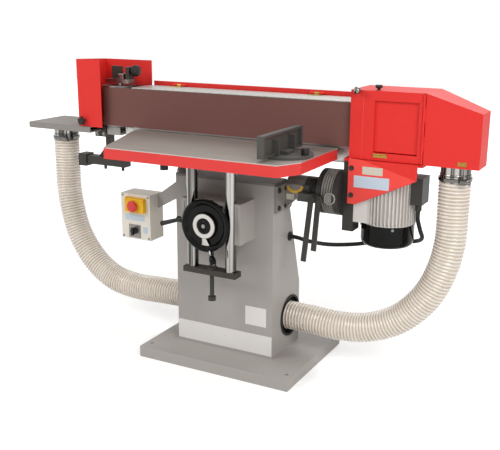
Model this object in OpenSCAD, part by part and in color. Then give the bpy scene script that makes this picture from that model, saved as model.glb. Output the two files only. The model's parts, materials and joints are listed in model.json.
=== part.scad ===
// Edge sander: floor machine with a tilting belt head, a screw-lift table and two dust hoses.
// Millimetres. Origin under the middle of the base, +X to the motor end, +Y to the back, +Z up.

/* [Base] */
// Width of the base along the belt
base_w = 624; // [580:2:700]
// Depth of the base
base_d = 480; // [460:2:560]
// Height of the base
base_h = 42; // [38:1:50]
// Wall and rib thickness under the base deck
base_wall = 14; // [10:1:20]
// Thickness of the base deck
base_deck = 12; // [8:1:16]
// Diameter of the floor bolt holes
base_hole_d = 14; // [10:1:18]
// Floor bolt holes, from the ends of the base
base_hole_x = 24; // [22:1:32]
// Floor bolt holes, from the front and back of the base
base_hole_y = 45; // [40:1:60]

/* [Column] */
// Width of the column
col_w = 404; // [390:2:420]
// Column centre, left of the base centre
col_shift = 18; // [10:1:24]
// Column front, ahead of the base centre
col_front = 108; // [104:1:114]
// Depth of the column at its foot
col_depth = 231; // [224:1:240]
// Depth of the column at its top
col_top_depth = 106; // [98:1:112]
// Height of the column
col_h = 650; // [645:1:655]
// Height of the upright part of the column's back
col_bend_h = 235; // [225:1:250]
// Column sheet thickness
col_sheet = 4; // [3:0.5:6]
// Thickness of the column's top plate
lid_t = 10; // [6:1:14]

/* [Dust ways] */
// Outer diameter over the hose ribs
hose_d = 108; // [100:1:114]
// Rib height of the hose
hose_rib = 3.5; // [2:0.5:5]
// Wall of the hose under its ribs
hose_wall = 2.5; // [2:0.5:3]
// Ribs on each hose
hose_ribs = 78; // [40:1:90]
// Bore of the dust collars
collar_bore = 96; // [88:1:98]
// Wall of the dust collars
collar_wall = 2; // [1.5:0.5:3]
// Bore of the outlet at the column's back
outlet_bore = 100; // [94:1:102]
// Hose hole in the column's side
hose_hole_d = 150; // [140:1:156]
// Hose hole, behind the base centre
hose_port_y = 42; // [40:1:44]
// Hose hole height above the floor
hose_port_z = 166; // [160:1:172]

/* [Table] */
// Width of the table
table_w = 780; // [740:2:786]
// Depth of the table
table_d = 384; // [360:2:400]
// Height of the table's edge
table_h = 40; // [34:1:42]
// Thickness of the table plate
table_t = 14; // [10:1:18]
// Thickness of the table's rim
table_rim = 10; // [6:1:14]
// Table surface above the floor
table_z = 827; // [825:1:829]
// Gap between the table and the belt
table_gap = 6; // [4:0.5:10]
// Slant of the table's left end, each way from its middle
table_skew = 72; // [60:1:76]
// Cut right front corner of the table, along the belt
table_cut_x = 44; // [36:1:70]
// Cut right front corner of the table, front to back
table_cut_y = 86; // [60:1:95]

/* [Table lift] */
// Diameter of the table posts
post_d = 40; // [36:1:44]
// Distance between the table posts
post_gap = 156; // [146:1:164]
// Table posts, ahead of the base centre
post_y = 205; // [200:1:208]
// Diameter of the lift spindle
spindle_d = 16; // [14:1:18]
// Height of the handwheel's shaft
wheel_z = 560; // [556:1:566]
// Diameter of the handwheel
wheel_d = 188; // [174:1:194]
// Width of the handwheel's rim
wheel_rim = 22; // [18:1:26]
// Width of the lift bracket
lift_w = 240; // [232:2:250]
// Height of the lift bracket
lift_h = 146; // [140:1:152]
// Underside of the lift bracket
lift_z = 494; // [490:1:498]
// Plate thickness of the lift bracket
lift_t = 12; // [10:1:14]
// Height of the crossbar
crossbar_h = 20; // [18:1:26]
// Underside of the crossbar
crossbar_z = 372; // [366:1:378]

/* [Belt] */
// Length of the abrasive belt
belt_len = 2732; // [2722:1:2742]
// Width of the abrasive belt
belt_h = 150; // [148:1:152]
// Thickness of the abrasive belt
belt_t = 1; // [0.8:0.1:1.5]
// Lower edge of the belt above the floor
belt_z = 834; // [832:1:836]
// Front face of the belt, behind the base centre
belt_y = 12; // [10:1:14]
// Diameter of the drums
drum_d = 138.4; // [136:0.2:142]
// Idler end of the belt, left of the base centre
belt_end = 678; // [674:1:682]
// Thickness of the platen
platen_t = 10; // [8:1:12]
// Thickness of the graphite pad
pad_t = 2; // [1:0.5:3]

/* [Drive] */
// Motor diameter over the fins
motor_d = 192; // [184:1:194]
// Height of the motor's fan cover
fan_h = 80; // [74:1:86]
// Height of the motor's finned body
motor_h = 175; // [168:1:180]
// Number of motor fins
motor_fins = 46; // [36:1:50]
// Diameter of the drive shaft
shaft_d = 28; // [24:1:32]

/* [Head covers] */
// Sheet thickness of the red covers
sheet = 2.5; // [2:0.5:3]
// Top of the drum housing above the floor
box_top = 1030; // [1024:1:1036]
// Left side of the drum housing
box_x0 = 418; // [416:1:424]
// Hinge line of the drum door
door_x = 670; // [666:1:676]
// Right end of the chute
chute_x = 858; // [848:1:868]
// Height of the chute at its right end
chute_end_h = 178; // [165:1:190]
// Depth of the chute at its right end
chute_end_d = 104; // [95:1:120]
// Back of the drum housing
box_back = 176; // [172:1:182]

/* [Tilt] */
// Tilt axis height above the floor
tilt_z = 670; // [667:1:672]
// Tilt axis, behind the base centre
tilt_y = 20; // [18:1:22]
// Diameter of the tilt shafts
tilt_d = 50; // [44:1:54]
// Diameter of the ribbed trunnion
trunnion_d = 160; // [150:1:164]

/* [Control box] */
// Width of the control box
ctrl_w = 134; // [124:1:140]
// Height of the control box
ctrl_h = 178; // [170:1:186]
// Depth of the control box
ctrl_d = 87; // [75:1:90]

/* [Clearances] */
// Radial clearance of shafts that turn or slide
run = 0.05; // [0.02:0.01:0.1]
// Gap between pieces that move past each other
gap = 0.4; // [0.3:0.1:0.6]

/* [Hidden] */
$fn = 64;

// Places that several pieces share
col_x0 = -col_shift - col_w / 2;
col_x1 = -col_shift + col_w / 2;
col_top = base_h + col_h;
lift_x = -10;
bracket_y0 = -post_y - 27;
wheel_y = bracket_y0 - 2;
table_x0 = -col_shift - table_w / 2;
table_x1 = -col_shift + table_w / 2;
table_y1 = belt_y - table_gap;
table_y0 = table_y1 - table_d;
rim_z = table_z - table_h;
drum_r = drum_d / 2;
belt_r = drum_r + gap - 0.1;
axis_y = belt_y + belt_t + belt_r;
idler_x = -belt_end + belt_t + belt_r;
drive_x = idler_x + (belt_len - 2 * PI * (belt_r + belt_t / 2)) / 2;
drum_z0 = belt_z - 5;
drum_z1 = belt_z + belt_h + 5;
pad_y = belt_y + belt_t + 0.3;
platen_y = pad_y + pad_t;
beam_z1 = belt_z - 8;
beam_h = 56;
beam_x0 = -556;
beam_y0 = axis_y - 38;
beam_y1 = axis_y + 42;
mount_w = 40;
motor_gap = 2;
mount_x1 = floor(drive_x - motor_d / 2 - motor_gap);
mount_x0 = mount_x1 - mount_w;
deck_z = belt_z - 37;
deck_t = 10;
hose_bore_d = hose_d - 2 * hose_rib - 2 * hose_wall;
collar_d = collar_bore + 2 * collar_wall;
collar_l = 55;
collar_left = [-898, axis_y];
collar_right = [768, 65];
end_top = belt_z - 7;
end_h = 24;
ctrl_x0 = -467;
ctrl_y0 = -120;
ctrl_z0 = 424;

// A box between two corners
module block(a, b) {
  translate(a) cube(b - a);
}

// Round bars along each axis
module bar_x(x0, x1, y, z, d) {
  translate([x0, y, z]) rotate([0, 90, 0]) cylinder(d = d, h = x1 - x0);
}
module bar_y(y0, y1, x, z, d) {
  translate([x, y1, z]) rotate([90, 0, 0]) cylinder(d = d, h = y1 - y0);
}
module bar_z(z0, z1, x, y, d) {
  translate([x, y, z0]) cylinder(d = d, h = z1 - z0);
}

// Plates cut from an outline of [y, z] or [x, z] points
module plate_yz(x0, x1, points) {
  translate([x0, 0, 0]) rotate([90, 0, 90]) linear_extrude(x1 - x0) polygon(points);
}
module plate_xz(y0, y1, points) {
  translate([0, y1, 0]) rotate([90, 0, 0]) linear_extrude(y1 - y0) polygon(points);
}
module plate_xy(z0, z1, points) {
  translate([0, 0, z0]) linear_extrude(z1 - z0) polygon(points);
}

module base_plate() {
  color("#96918c")
  difference() {
    union() {
      block([-base_w / 2, -base_d / 2, base_h - base_deck], [base_w / 2, base_d / 2, base_h]);
      difference() {
        block([-base_w / 2, -base_d / 2, 0], [base_w / 2, base_d / 2, base_h]);
        block([base_wall - base_w / 2, base_wall - base_d / 2, -1],
              [base_w / 2 - base_wall, base_d / 2 - base_wall, base_h - base_deck]);
      }
      block([-base_w / 2 + 1, -base_wall * 2, 0], [base_w / 2 - 1, base_wall * 2, base_h - 1]);
      block([-base_wall * 2, -base_d / 2 + 1, 0], [base_wall * 2, base_d / 2 - 1, base_h - 1]);
      for (sx = [-1, 1], sy = [-1, 1])
        bar_z(0, base_h - 1, sx * (base_w / 2 - base_hole_x), sy * (base_d / 2 - base_hole_y), base_hole_d + 28);
    }
    for (sx = [-1, 1], sy = [-1, 1])
      bar_z(-1, base_h + 1, sx * (base_w / 2 - base_hole_x), sy * (base_d / 2 - base_hole_y), base_hole_d);
  }
}

// Side outline of the column, drawn in by the sheet
function column_outline(in, over) = [
  [in - col_front, base_h - over],
  [col_depth - col_front - in, base_h - over],
  [col_depth - col_front - in, base_h + col_bend_h],
  [col_top_depth - col_front - in, col_top + over],
  [in - col_front, col_top + over]
];

module column() {
  color("#96918c")
  difference() {
    plate_yz(col_x0, col_x1, column_outline(0, 0));
    plate_yz(col_x0 + col_sheet, col_x1 - col_sheet, column_outline(col_sheet, 1));
    bar_x(col_x0 - 1, col_x1 + 1, hose_port_y, hose_port_z, hose_hole_d);
    bar_y(0, col_depth, -col_shift, hose_port_z, outlet_d + 1);
    bar_x(col_x1 - col_sheet - 1, col_x1 + 1, cable_y, cable_z, cable_hole_d);
  }
}

module column_lid() {
  color("#5a5653")
  block([col_x0, -col_front, col_top], [col_x1, col_top_depth - col_front, col_top + lid_t]);
}

// Black edging in both hose holes and the cable hole
edging_w = 14;
module edging(x, y, z, hole_d, bore_d) {
  difference() {
    union() {
      bar_x(x - edging_w / 2, x + edging_w / 2, y, z, hole_d);
      bar_x(x < 0 ? x - edging_w / 2 : x + col_sheet / 2, x < 0 ? x - col_sheet / 2 : x + edging_w / 2, y, z, hole_d + 8);
    }
    bar_x(x - edging_w, x + edging_w, y, z, bore_d);
  }
}
module hose_edgings() {
  color("#262522") {
    edging(col_x0 + col_sheet / 2, hose_port_y, hose_port_z, hose_hole_d, hose_hole_d - 8);
    edging(col_x1 - col_sheet / 2, hose_port_y, hose_port_z, hose_hole_d, hose_hole_d - 8);
    edging(col_x1 - col_sheet / 2, cable_y, cable_z, cable_hole_d, cable_d + 2);
  }
}

// Duct inside the column that joins both hoses to the outlet at the back
port_in = 20;
outlet_y = col_depth - col_front + 45;
outlet_l = 60;
outlet_d = outlet_bore + 4;
module dust_manifold() {
  color("#b9b6b0")
  difference() {
    union() {
      bar_x(col_x0 + port_in, col_x1 - port_in, hose_port_y, hose_port_z, collar_d);
      bar_y(hose_port_y, outlet_y, -col_shift, hose_port_z, outlet_d);
      bar_y(col_depth - col_front, col_depth - col_front + 4, -col_shift, hose_port_z, outlet_d + 36);
    }
    bar_x(col_x0, col_x1, hose_port_y, hose_port_z, collar_bore);
    bar_y(hose_port_y, outlet_y + 1, -col_shift, hose_port_z, collar_bore);
    bar_y(outlet_y - outlet_l, outlet_y + 1, -col_shift, hose_port_z, outlet_bore);
  }
}

// Guide bracket of the table posts, with shelves, cheeks and a front plate for the wheel shaft
guide_y = 7;
front_w = 40;
module lift_bracket() {
  x0 = lift_x - lift_w / 2;
  x1 = lift_x + lift_w / 2;
  z1 = lift_z + lift_h;
  color("#8b8781")
  difference() {
    union() {
      block([x0, -col_front - lift_t, lift_z], [x1, -col_front, z1]);
      for (z = [lift_z, z1 - lift_t])
        block([x0, -post_y - guide_y, z], [x1, -col_front, z + lift_t]);
      for (x = [x0, x1 - lift_t])
        block([x, -post_y - guide_y, lift_z], [x + lift_t, -col_front, z1]);
      for (s = [-1, 1])
        block([lift_x + s * post_gap / 2 - 28, -post_y - guide_y, lift_z], [lift_x + s * post_gap / 2 + 28, -post_y + 30, z1]);
      block([lift_x - front_w, bracket_y0, lift_z + 30], [lift_x + front_w, bracket_y0 + 6, z1 - 30]);
      for (x = [lift_x - front_w, lift_x + front_w - 6])
        block([x, bracket_y0, lift_z + 30], [x + 6, -post_y, z1 - 30]);
      for (z = [lift_z + 30, z1 - 36])
        block([lift_x - front_w, bracket_y0, z], [lift_x + front_w, -col_front, z + 6]);
    }
    for (s = [-1, 1])
      bar_z(lift_z - 1, z1 + 1, lift_x + s * post_gap / 2, -post_y, post_d + 2 * run);
    bar_z(lift_z - 1, z1 + 1, lift_x, -post_y, spindle_d + 2 * run);
    bar_y(bracket_y0 - 1, bracket_y0 + 7, lift_x, wheel_z, wheel_shaft_d + 2 * run);
    bar_x(x0 - 1, x0 + lift_t + 6, -post_y, lock_z, lock_d + 2 * run);
  }
}

// Bracket on the column's right side, with the tilt bearing and lugs for the clamp levers
bearing_d = tilt_d + 40;
bracket_x1 = 321.6;
web_x1 = 288;
lug_y0 = -76;
lug_y1 = -63;
module tilt_bracket() {
  color("#7d7973")
  difference() {
    union() {
      plate_yz(col_x1, col_x1 + 12, [[8 - col_front, col_top - 96], [12, col_top - 96], [tilt_y + 40, tilt_z - 20],
        [tilt_y + 40, col_top], [8 - col_front, col_top]]);
      bar_x(col_x1 + 6, bracket_x1, tilt_y, tilt_z, bearing_d);
      plate_xz(tilt_y - 58, tilt_y - 42, [[col_x1 + 6, col_top - 96], [web_x1 - 34, tilt_z - 14], [web_x1, tilt_z],
        [web_x1, col_top], [col_x1 + 6, col_top]]);
      block([web_x1 - 30, lug_y0, lever_z - 14], [lever_x[1] + 9, lug_y1, lever_z + 14]);
      block([web_x1 - 30, lug_y0, lever_z - 14], [web_x1 - 4, tilt_y - 30, lever_z + 14]);
    }
    bar_x(col_x1 - 1, bracket_x1 + 1, tilt_y, tilt_z, tilt_d + 2 * run);
    for (i = [0, 1])
      bar_y(lug_y0 - 1, lug_y1 + 1, lever_x[i], lever_z, lever_pin_d + 2 * run);
  }
}

// Second tilt bearing, on the column's left side
bearing_x0 = col_x0 - 44;
module tilt_bearing() {
  color("#7d7973")
  difference() {
    union() {
      plate_yz(col_x0 - 12, col_x0, [[-16, col_top - 96], [12, col_top - 96], [tilt_y + 40, tilt_z - 20],
        [tilt_y + 40, col_top], [-16, col_top]]);
      bar_x(bearing_x0, col_x0 - 6, tilt_y, tilt_z, bearing_d);
    }
    bar_x(bearing_x0 - 1, col_x0 + 1, tilt_y, tilt_z, tilt_d + 2 * run);
  }
}

// Folded arm that carries the control box
module control_arm() {
  color("#8f8a85") {
    plate_xz(-66, -60, [[ctrl_x0 + ctrl_w, ctrl_z0 + 120], [col_x0 - 4, ctrl_z0 + 180], [col_x0 - 4, ctrl_z0 + 250],
      [ctrl_x0 + ctrl_w, ctrl_z0 + 172]]);
    block([col_x0 - 4, -66, ctrl_z0 + 180], [col_x0, -20, ctrl_z0 + 250]);
  }
}

box_wall = 3;
module control_box() {
  color("#ded8cc")
  difference() {
    block([ctrl_x0, ctrl_y0 + box_wall, ctrl_z0], [ctrl_x0 + ctrl_w, ctrl_y0 + ctrl_d, ctrl_z0 + ctrl_h]);
    block([ctrl_x0 + box_wall, ctrl_y0, ctrl_z0 + box_wall],
          [ctrl_x0 + ctrl_w - box_wall, ctrl_y0 + ctrl_d - box_wall, ctrl_z0 + ctrl_h - box_wall]);
  }
}

knob_stem_d = 8;
selector_at = [ctrl_x0 + 62, ctrl_z0 + 34];
module control_cover() {
  color("#ded8cc")
  difference() {
    block([ctrl_x0, ctrl_y0, ctrl_z0], [ctrl_x0 + ctrl_w, ctrl_y0 + box_wall, ctrl_z0 + ctrl_h]);
    bar_y(ctrl_y0 - 1, ctrl_y0 + box_wall + 1, selector_at[0], selector_at[1], knob_stem_d + 2 * run);
  }
}

// Switch block with its hinged lid and stop button
switch_x0 = ctrl_x0 + 30;
switch_w = 86;
switch_h = 56;
switch_z0 = ctrl_z0 + ctrl_h - switch_h - 12;
switch_d = 10;
flap_t = 8;
flap_pin_d = 5;
flap_y = ctrl_y0 - switch_d - flap_t / 2;
flap_z = switch_z0 + switch_h - 5;
stop_at = [switch_x0 + 40, switch_z0 + 25];
stop_stem_d = 14;
stop_travel = 4;
stop_r = 22;
module switch_base() {
  color("#f5be28") {
    difference() {
      block([switch_x0, ctrl_y0 - switch_d, switch_z0], [switch_x0 + switch_w, ctrl_y0, switch_z0 + switch_h]);
      bar_y(ctrl_y0 - switch_d - 1, ctrl_y0 - 4, stop_at[0], stop_at[1], stop_stem_d + 6);
    }
    for (x = [switch_x0, switch_x0 + switch_w - 10])
      block([x, flap_y - flap_t / 2, flap_z - 3], [x + 10, ctrl_y0 - switch_d, flap_z + 5]);
    bar_x(switch_x0, switch_x0 + switch_w, flap_y, flap_z, flap_pin_d);
  }
}
module switch_flap() {
  color("#f5be28")
  difference() {
    union() {
      block([switch_x0, flap_y - flap_t / 2, switch_z0], [switch_x0 + switch_w, flap_y + flap_t / 2 - gap, flap_z - 5 - gap]);
      block([switch_x0 + 10 + gap, flap_y - flap_t / 2, flap_z - 6],
            [switch_x0 + switch_w - 10 - gap, flap_y + flap_t / 2 - gap, flap_z]);
      bar_x(switch_x0 + 10 + gap, switch_x0 + switch_w - 10 - gap, flap_y, flap_z, flap_t - 2 * gap);
    }
    bar_x(switch_x0 - 1, switch_x0 + switch_w + 1, flap_y, flap_z, flap_pin_d + 2 * run);
    bar_y(flap_y - flap_t, flap_y + flap_t, stop_at[0], stop_at[1], stop_stem_d + 2 * run);
  }
}
module stop_button() {
  color("#d0201c") {
    bar_y(flap_y - flap_t / 2 - stop_travel - 1, flap_y + flap_t / 2, stop_at[0], stop_at[1], stop_stem_d);
    translate([stop_at[0], flap_y - flap_t / 2 - stop_travel - 1, stop_at[1]]) rotate([90, 0, 0])
      rotate_extrude() polygon([[0, 0], [stop_r - 2, 0], [stop_r, 2], [stop_r, 6], [stop_r - 5, 10], [0, 12]]);
  }
}
module selector_knob() {
  color("#262522") {
    bar_y(ctrl_y0 - 4, ctrl_y0 + 14, selector_at[0], selector_at[1], knob_stem_d);
    bar_y(ctrl_y0 - 14, ctrl_y0 - 3, selector_at[0], selector_at[1], 26);
    block([selector_at[0] - 4, ctrl_y0 - 22, selector_at[1] - 15], [selector_at[0] + 4, ctrl_y0 - 13, selector_at[1] + 15]);
  }
}

// Table outline with cut front corners, drawn in by the rim
skew_slope = 2 * table_skew / table_d;
skew_front = sqrt(1 + pow(skew_slope, 2)) - skew_slope;
skew_back = sqrt(1 + pow(skew_slope, 2)) + skew_slope;
function table_outline(in) = [
  [table_x0 + table_skew + in * skew_front, table_y0 + in],
  [table_x1 - table_cut_x - in * 0.4, table_y0 + in],
  [table_x1 - in, table_y0 + table_cut_y + in * 0.4],
  [table_x1 - in, table_y1 - in],
  [table_x0 - table_skew + in * skew_back, table_y1 - in]
];
knob_at = [-115, table_y0 + 42];
knob_screw_d = 8;
module table_top() {
  color("#8e847d")
  difference() {
    union() {
      difference() {
        plate_xy(rim_z, table_z, table_outline(0));
        plate_xy(rim_z - 1, table_z - table_t, table_outline(table_rim));
      }
      for (s = [-1, 1])
        bar_z(rim_z + 3, table_z - 1, lift_x + s * post_gap / 2, -post_y, post_d + 34);
      block([lift_x - post_gap / 2, -post_y - 5, rim_z + 8], [lift_x + post_gap / 2, -post_y + 5, table_z - 1]);
      for (x = [table_x0 + 190, table_x1 - 190])
        block([x - 5, table_y0 + 1, rim_z + 12], [x + 5, table_y1 - 1, table_z - 1]);
      bar_z(rim_z + 6, table_z - 1, knob_at[0], knob_at[1], 26);
    }
    bar_z(rim_z - 1, table_z - 4, knob_at[0], knob_at[1], knob_screw_d + 2 * run);
    block([mount_x0 - table_gap, panel_y1 - sheet - table_gap, rim_z - 1],
          [max(table_x1, mount_x0) + 1, table_y1 + 1, table_z + 1]);
  }
}

module table_posts() {
  color("#d5d4d2")
  for (s = [-1, 1])
    bar_z(crossbar_z, rim_z + 3, lift_x + s * post_gap / 2, -post_y, post_d);
}

nut_d = 34;
bar_half = post_gap / 2 + 29;
module crossbar() {
  color("#2f2d2b")
  difference() {
    block([lift_x - bar_half, -post_y - 22, crossbar_z], [lift_x + bar_half, -post_y + 22, crossbar_z + crossbar_h]);
    for (s = [-1, 1])
      bar_z(crossbar_z - 1, crossbar_z + crossbar_h + 1, lift_x + s * post_gap / 2, -post_y, post_d);
    bar_z(crossbar_z - 1, crossbar_z + crossbar_h + 1, lift_x, -post_y, nut_d);
  }
}
module lift_nut() {
  color("#b89a5a")
  difference() {
    union() {
      bar_z(crossbar_z, crossbar_z + crossbar_h, lift_x, -post_y, nut_d);
      bar_z(crossbar_z + crossbar_h, crossbar_z + crossbar_h + 6, lift_x, -post_y, nut_d + 6);
    }
    bar_z(crossbar_z - 1, crossbar_z + crossbar_h + 7, lift_x, -post_y, spindle_d + 2 * run);
  }
}
module table_knob() {
  color("#262522") {
    bar_z(rim_z - 6, rim_z + 30, knob_at[0], knob_at[1], knob_screw_d);
    bar_z(rim_z - 24, rim_z - 4, knob_at[0], knob_at[1], 28);
  }
}

// Mitre gauge: quadrant on the table, swivelling fence, clamp knob
miter_y = table_y0 + 167;
quad_r = 90;
miter_x = table_x1 - quad_r - 2;
quad_t = 8;
fence_l = 290;
fence_h = 72;
fence_t = 12;
pivot_d = 12;
miter_knob_at = [miter_x + quad_r - 22, miter_y];
module miter_base() {
  color("#4a4a48")
  difference() {
    union() {
      intersection() {
        bar_z(table_z, table_z + quad_t, miter_x, miter_y, 2 * quad_r);
        block([miter_x - 24, miter_y - quad_r, table_z], [miter_x + quad_r, miter_y + quad_r, table_z + quad_t]);
      }
      bar_z(table_z, table_z + quad_t + 12, miter_x, miter_y, pivot_d);
    }
    bar_z(table_z - 1, table_z + quad_t + 1, miter_knob_at[0], miter_knob_at[1], knob_screw_d + 2 * run);
  }
}
module miter_fence() {
  z0 = table_z + quad_t + gap;
  color("#4a4a48")
  difference() {
    union() {
      block([miter_x - 20 - fence_t, miter_y - fence_l / 2, z0], [miter_x - 20, miter_y + fence_l / 2, z0 + fence_h]);
      block([miter_x - 24, miter_y - 26, z0], [miter_x + 18, miter_y + 26, z0 + 10]);
      for (s = [-1, 1])
        block([miter_x - 24, miter_y + s * 60 - 3, z0], [miter_x + 4, miter_y + s * 60 + 3, z0 + fence_h - 20]);
      for (s = [-1, 1])
        block([miter_x - 24, miter_y + s * (fence_l / 2 - 6) - 6, z0],
              [miter_x - 8, miter_y + s * (fence_l / 2 - 6) + 6, z0 + fence_h]);
      for (z = [z0, z0 + fence_h - 8])
        block([miter_x - 24, miter_y - fence_l / 2, z], [miter_x - 10, miter_y + fence_l / 2, z + 8]);
    }
    bar_z(z0 - 1, z0 + 40, miter_x, miter_y, pivot_d + 2 * run);
  }
}
module miter_knob() {
  color("#262522") {
    bar_z(table_z + 1, table_z + quad_t + 12, miter_knob_at[0], miter_knob_at[1], knob_screw_d);
    bar_z(table_z + quad_t + gap, table_z + quad_t + 22, miter_knob_at[0], miter_knob_at[1], 26);
  }
}

// Handwheel: dished black disc on the wheel shaft, with a crank
wheel_shaft_d = 14;
gear_near = 9.5;
gear_far = 16;
hub_r = 46;
hub_h = 23;
crank_at = [lift_x + 14, wheel_z - wheel_d / 2 + 14];
crank_tilt = [153, -38, 0];
crank_d = 12;
crank_l = 34;
grip_l = 34;
module handwheel() {
  color("#1f1e1d")
  translate([lift_x, wheel_y, wheel_z]) rotate([90, 0, 0])
  rotate_extrude($fn = 96)
    polygon([[wheel_shaft_d / 2, 0], [24, 0], [26, 6], [wheel_d / 2 - 12, 6], [wheel_d / 2 - 4, 4],
      [wheel_d / 2, 8], [wheel_d / 2, wheel_rim - 4], [wheel_d / 2 - 5, wheel_rim], [wheel_d / 2 - 13, wheel_rim - 2],
      [wheel_d / 2 - 22, 12], [hub_r + 4, 12], [hub_r, hub_h], [wheel_shaft_d / 2, hub_h]]);
}
module wheel_ring() {
  color("#cfcdca")
  translate([lift_x, wheel_y, wheel_z]) rotate([90, 0, 0])
  rotate_extrude() polygon([[hub_r - 18, hub_h], [hub_r - 2, hub_h], [hub_r - 3, hub_h + 2], [hub_r - 17, hub_h + 2]]);
}
module wheel_shaft() {
  color("#b8b6b2") {
    bar_y(wheel_y - hub_h - 4, -post_y - gear_near, lift_x, wheel_z, wheel_shaft_d);
    translate([lift_x, -post_y, wheel_z]) rotate([90, 0, 0])
      rotate_extrude() polygon([[0, gear_near], [gear_near - gap, gear_near], [gear_far - gap, gear_far],
        [gear_far - 3, gear_far], [0, gear_far]]);
  }
}
module crank_link() {
  color("#cfcdca")
  translate([crank_at[0], wheel_y - 12, crank_at[1]]) {
    sphere(d = 20);
    rotate(crank_tilt) cylinder(d = crank_d - 3, h = crank_l + grip_l);
  }
}
module crank_grip() {
  color("#1f1e1d")
  translate([crank_at[0], wheel_y - 12, crank_at[1]]) rotate(crank_tilt)
  difference() {
    rotate_extrude() polygon([[0, crank_l], [8, crank_l], [11, crank_l + 8], [12, crank_l + grip_l / 2],
      [9, crank_l + grip_l], [0, crank_l + grip_l]]);
    translate([0, 0, -1]) cylinder(d = crank_d - 3 + 2 * run, h = crank_l + grip_l + 2);
  }
}
stop_z = crossbar_z - 100;
module lift_spindle() {
  color("#a9a6a1") {
    bar_z(stop_z, lift_z + lift_h, lift_x, -post_y, spindle_d);
    translate([lift_x, -post_y, stop_z]) cylinder(d = 32, h = 14, $fn = 6);
    translate([lift_x, -post_y, wheel_z])
      rotate_extrude() polygon([[0, gear_near], [gear_near - gap, gear_near], [gear_far - gap, gear_far], [0, gear_far]]);
    bar_z(lift_z + lift_t + 0.2, lift_z + lift_t + 10, lift_x, -post_y, spindle_d + 14);
  }
}
lock_z = lift_z + 62;
lock_d = 12;
module table_lock() {
  x0 = lift_x - lift_w / 2;
  color("#1f1e1d") {
    bar_x(x0 - 20, x0 + lift_t + 4, -post_y, lock_z, lock_d);
    bar_x(x0 - 22, x0 - gap, -post_y, lock_z, 22);
    translate([x0 - 12, -post_y, lock_z]) rotate([0, -108, 0]) cylinder(d1 = 14, d2 = 18, h = 84);
  }
}

// Beam under the belt, with a closed left end and the left tilt arm
arm_x1 = bearing_x0 - gap;
module head_beam() {
  color("#3a3836") {
    difference() {
      block([beam_x0, beam_y0, beam_z1 - beam_h], [mount_x0, beam_y1, beam_z1]);
      block([beam_x0 + 20, beam_y0 + 5, beam_z1 - beam_h + 5], [mount_x0 + 1, beam_y1 - 5, beam_z1 - 5]);
    }
    plate_yz(arm_x1 - 14, arm_x1, [[tilt_y - 34, tilt_z], [tilt_y + 34, tilt_z], [beam_y1, beam_z1 - beam_h - 20],
      [beam_y1, beam_z1 - beam_h], [beam_y0, beam_z1 - beam_h], [beam_y0 - 10, beam_z1 - beam_h - 20]]);
    bar_x(arm_x1 - 14, arm_x1, tilt_y, tilt_z, tilt_d + 24);
    bar_x(arm_x1 - 14, col_x0 - 8, tilt_y, tilt_z, tilt_d);
  }
}

// Platen with its foot on the beam and struts under the top cover
platen_x0 = -500;
platen_x1 = mount_x0 + 40;
cover_z = belt_z + belt_h + 2;
module platen() {
  color("#a5a29d") {
    block([platen_x0, platen_y, beam_z1], [platen_x1, platen_y + platen_t, cover_z]);
    block([platen_x0, platen_y, beam_z1], [mount_x0, beam_y1, beam_z1 + 8]);
    for (x = [platen_x0 + 40, 0, platen_x1 - 60])
      bar_z(beam_z1 + 7, cover_z, x, axis_y + 30, 18);
  }
}
module graphite_pad() {
  color("#2b2b2b")
  block([platen_x0, pad_y, belt_z + 2], [platen_x1, platen_y, belt_z + belt_h - 2]);
}

// Belt outline round both drums
module belt_outline(r) {
  translate([idler_x, axis_y]) circle(r = r, $fn = 96);
  translate([drive_x, axis_y]) circle(r = r, $fn = 96);
  translate([idler_x, axis_y - r]) square([drive_x - idler_x, 2 * r]);
}
module sanding_belt() {
  color("#704a44")
  translate([0, 0, belt_z]) linear_extrude(belt_h) difference() {
    belt_outline(belt_r + belt_t);
    belt_outline(belt_r);
  }
}

// Rear cover on two brass hinges along the top cover
cover_x0 = -498;
cover_x1 = box_x0 - 6;
rear_y = axis_y + belt_r + belt_t + 13;
hinge_y = rear_y - 16;
hinge_z = cover_z + 8;
pin_d = 4;
knuckle_d = 9;
hinge_l = 54;
leaf_w = 30;
hinge_inset = 106;
hinge_at = [cover_x0 + hinge_inset, cover_x1 - 2 * hinge_inset];
module belt_top_cover() {
  color("#c9c9c5")
  block([platen_x0, pad_y + 1, cover_z], [box_x0 - 2, hinge_y - 6, cover_z + 2]);
}
module hinge_leaves() {
  color("#bea05a")
  for (x = hinge_at) {
    block([x, hinge_y - leaf_w, cover_z + 2], [x + hinge_l, hinge_y - 5, cover_z + 4]);
    block([x + hinge_l / 3 + gap, hinge_y - 6, cover_z + 2], [x + hinge_l * 2 / 3 - gap, hinge_y, cover_z + 7]);
    bar_x(x + hinge_l / 3 + gap, x + hinge_l * 2 / 3 - gap, hinge_y, hinge_z, knuckle_d);
    bar_x(x, x + hinge_l, hinge_y, hinge_z, pin_d);
  }
}
module rear_cover() {
  color("#e83e38")
  difference() {
    union() {
      block([cover_x0, rear_y, belt_z - 4], [cover_x1, rear_y + sheet, cover_z + 18]);
      for (x = hinge_at, k = [0, 2]) {
        block([x + k * hinge_l / 3, hinge_y + 1, cover_z + 3], [x + (k + 1) * hinge_l / 3, rear_y + 1, cover_z + 6]);
        bar_x(x + k * hinge_l / 3, x + (k + 1) * hinge_l / 3, hinge_y, hinge_z, knuckle_d);
      }
      block([cover_x0, rear_y - 8, belt_z - 4], [cover_x1, rear_y + sheet, belt_z - 4 + sheet]);
    }
    for (x = hinge_at)
      bar_x(x - 1, x + hinge_l + 1, hinge_y, hinge_z, pin_d + 2 * run);
  }
}

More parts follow.
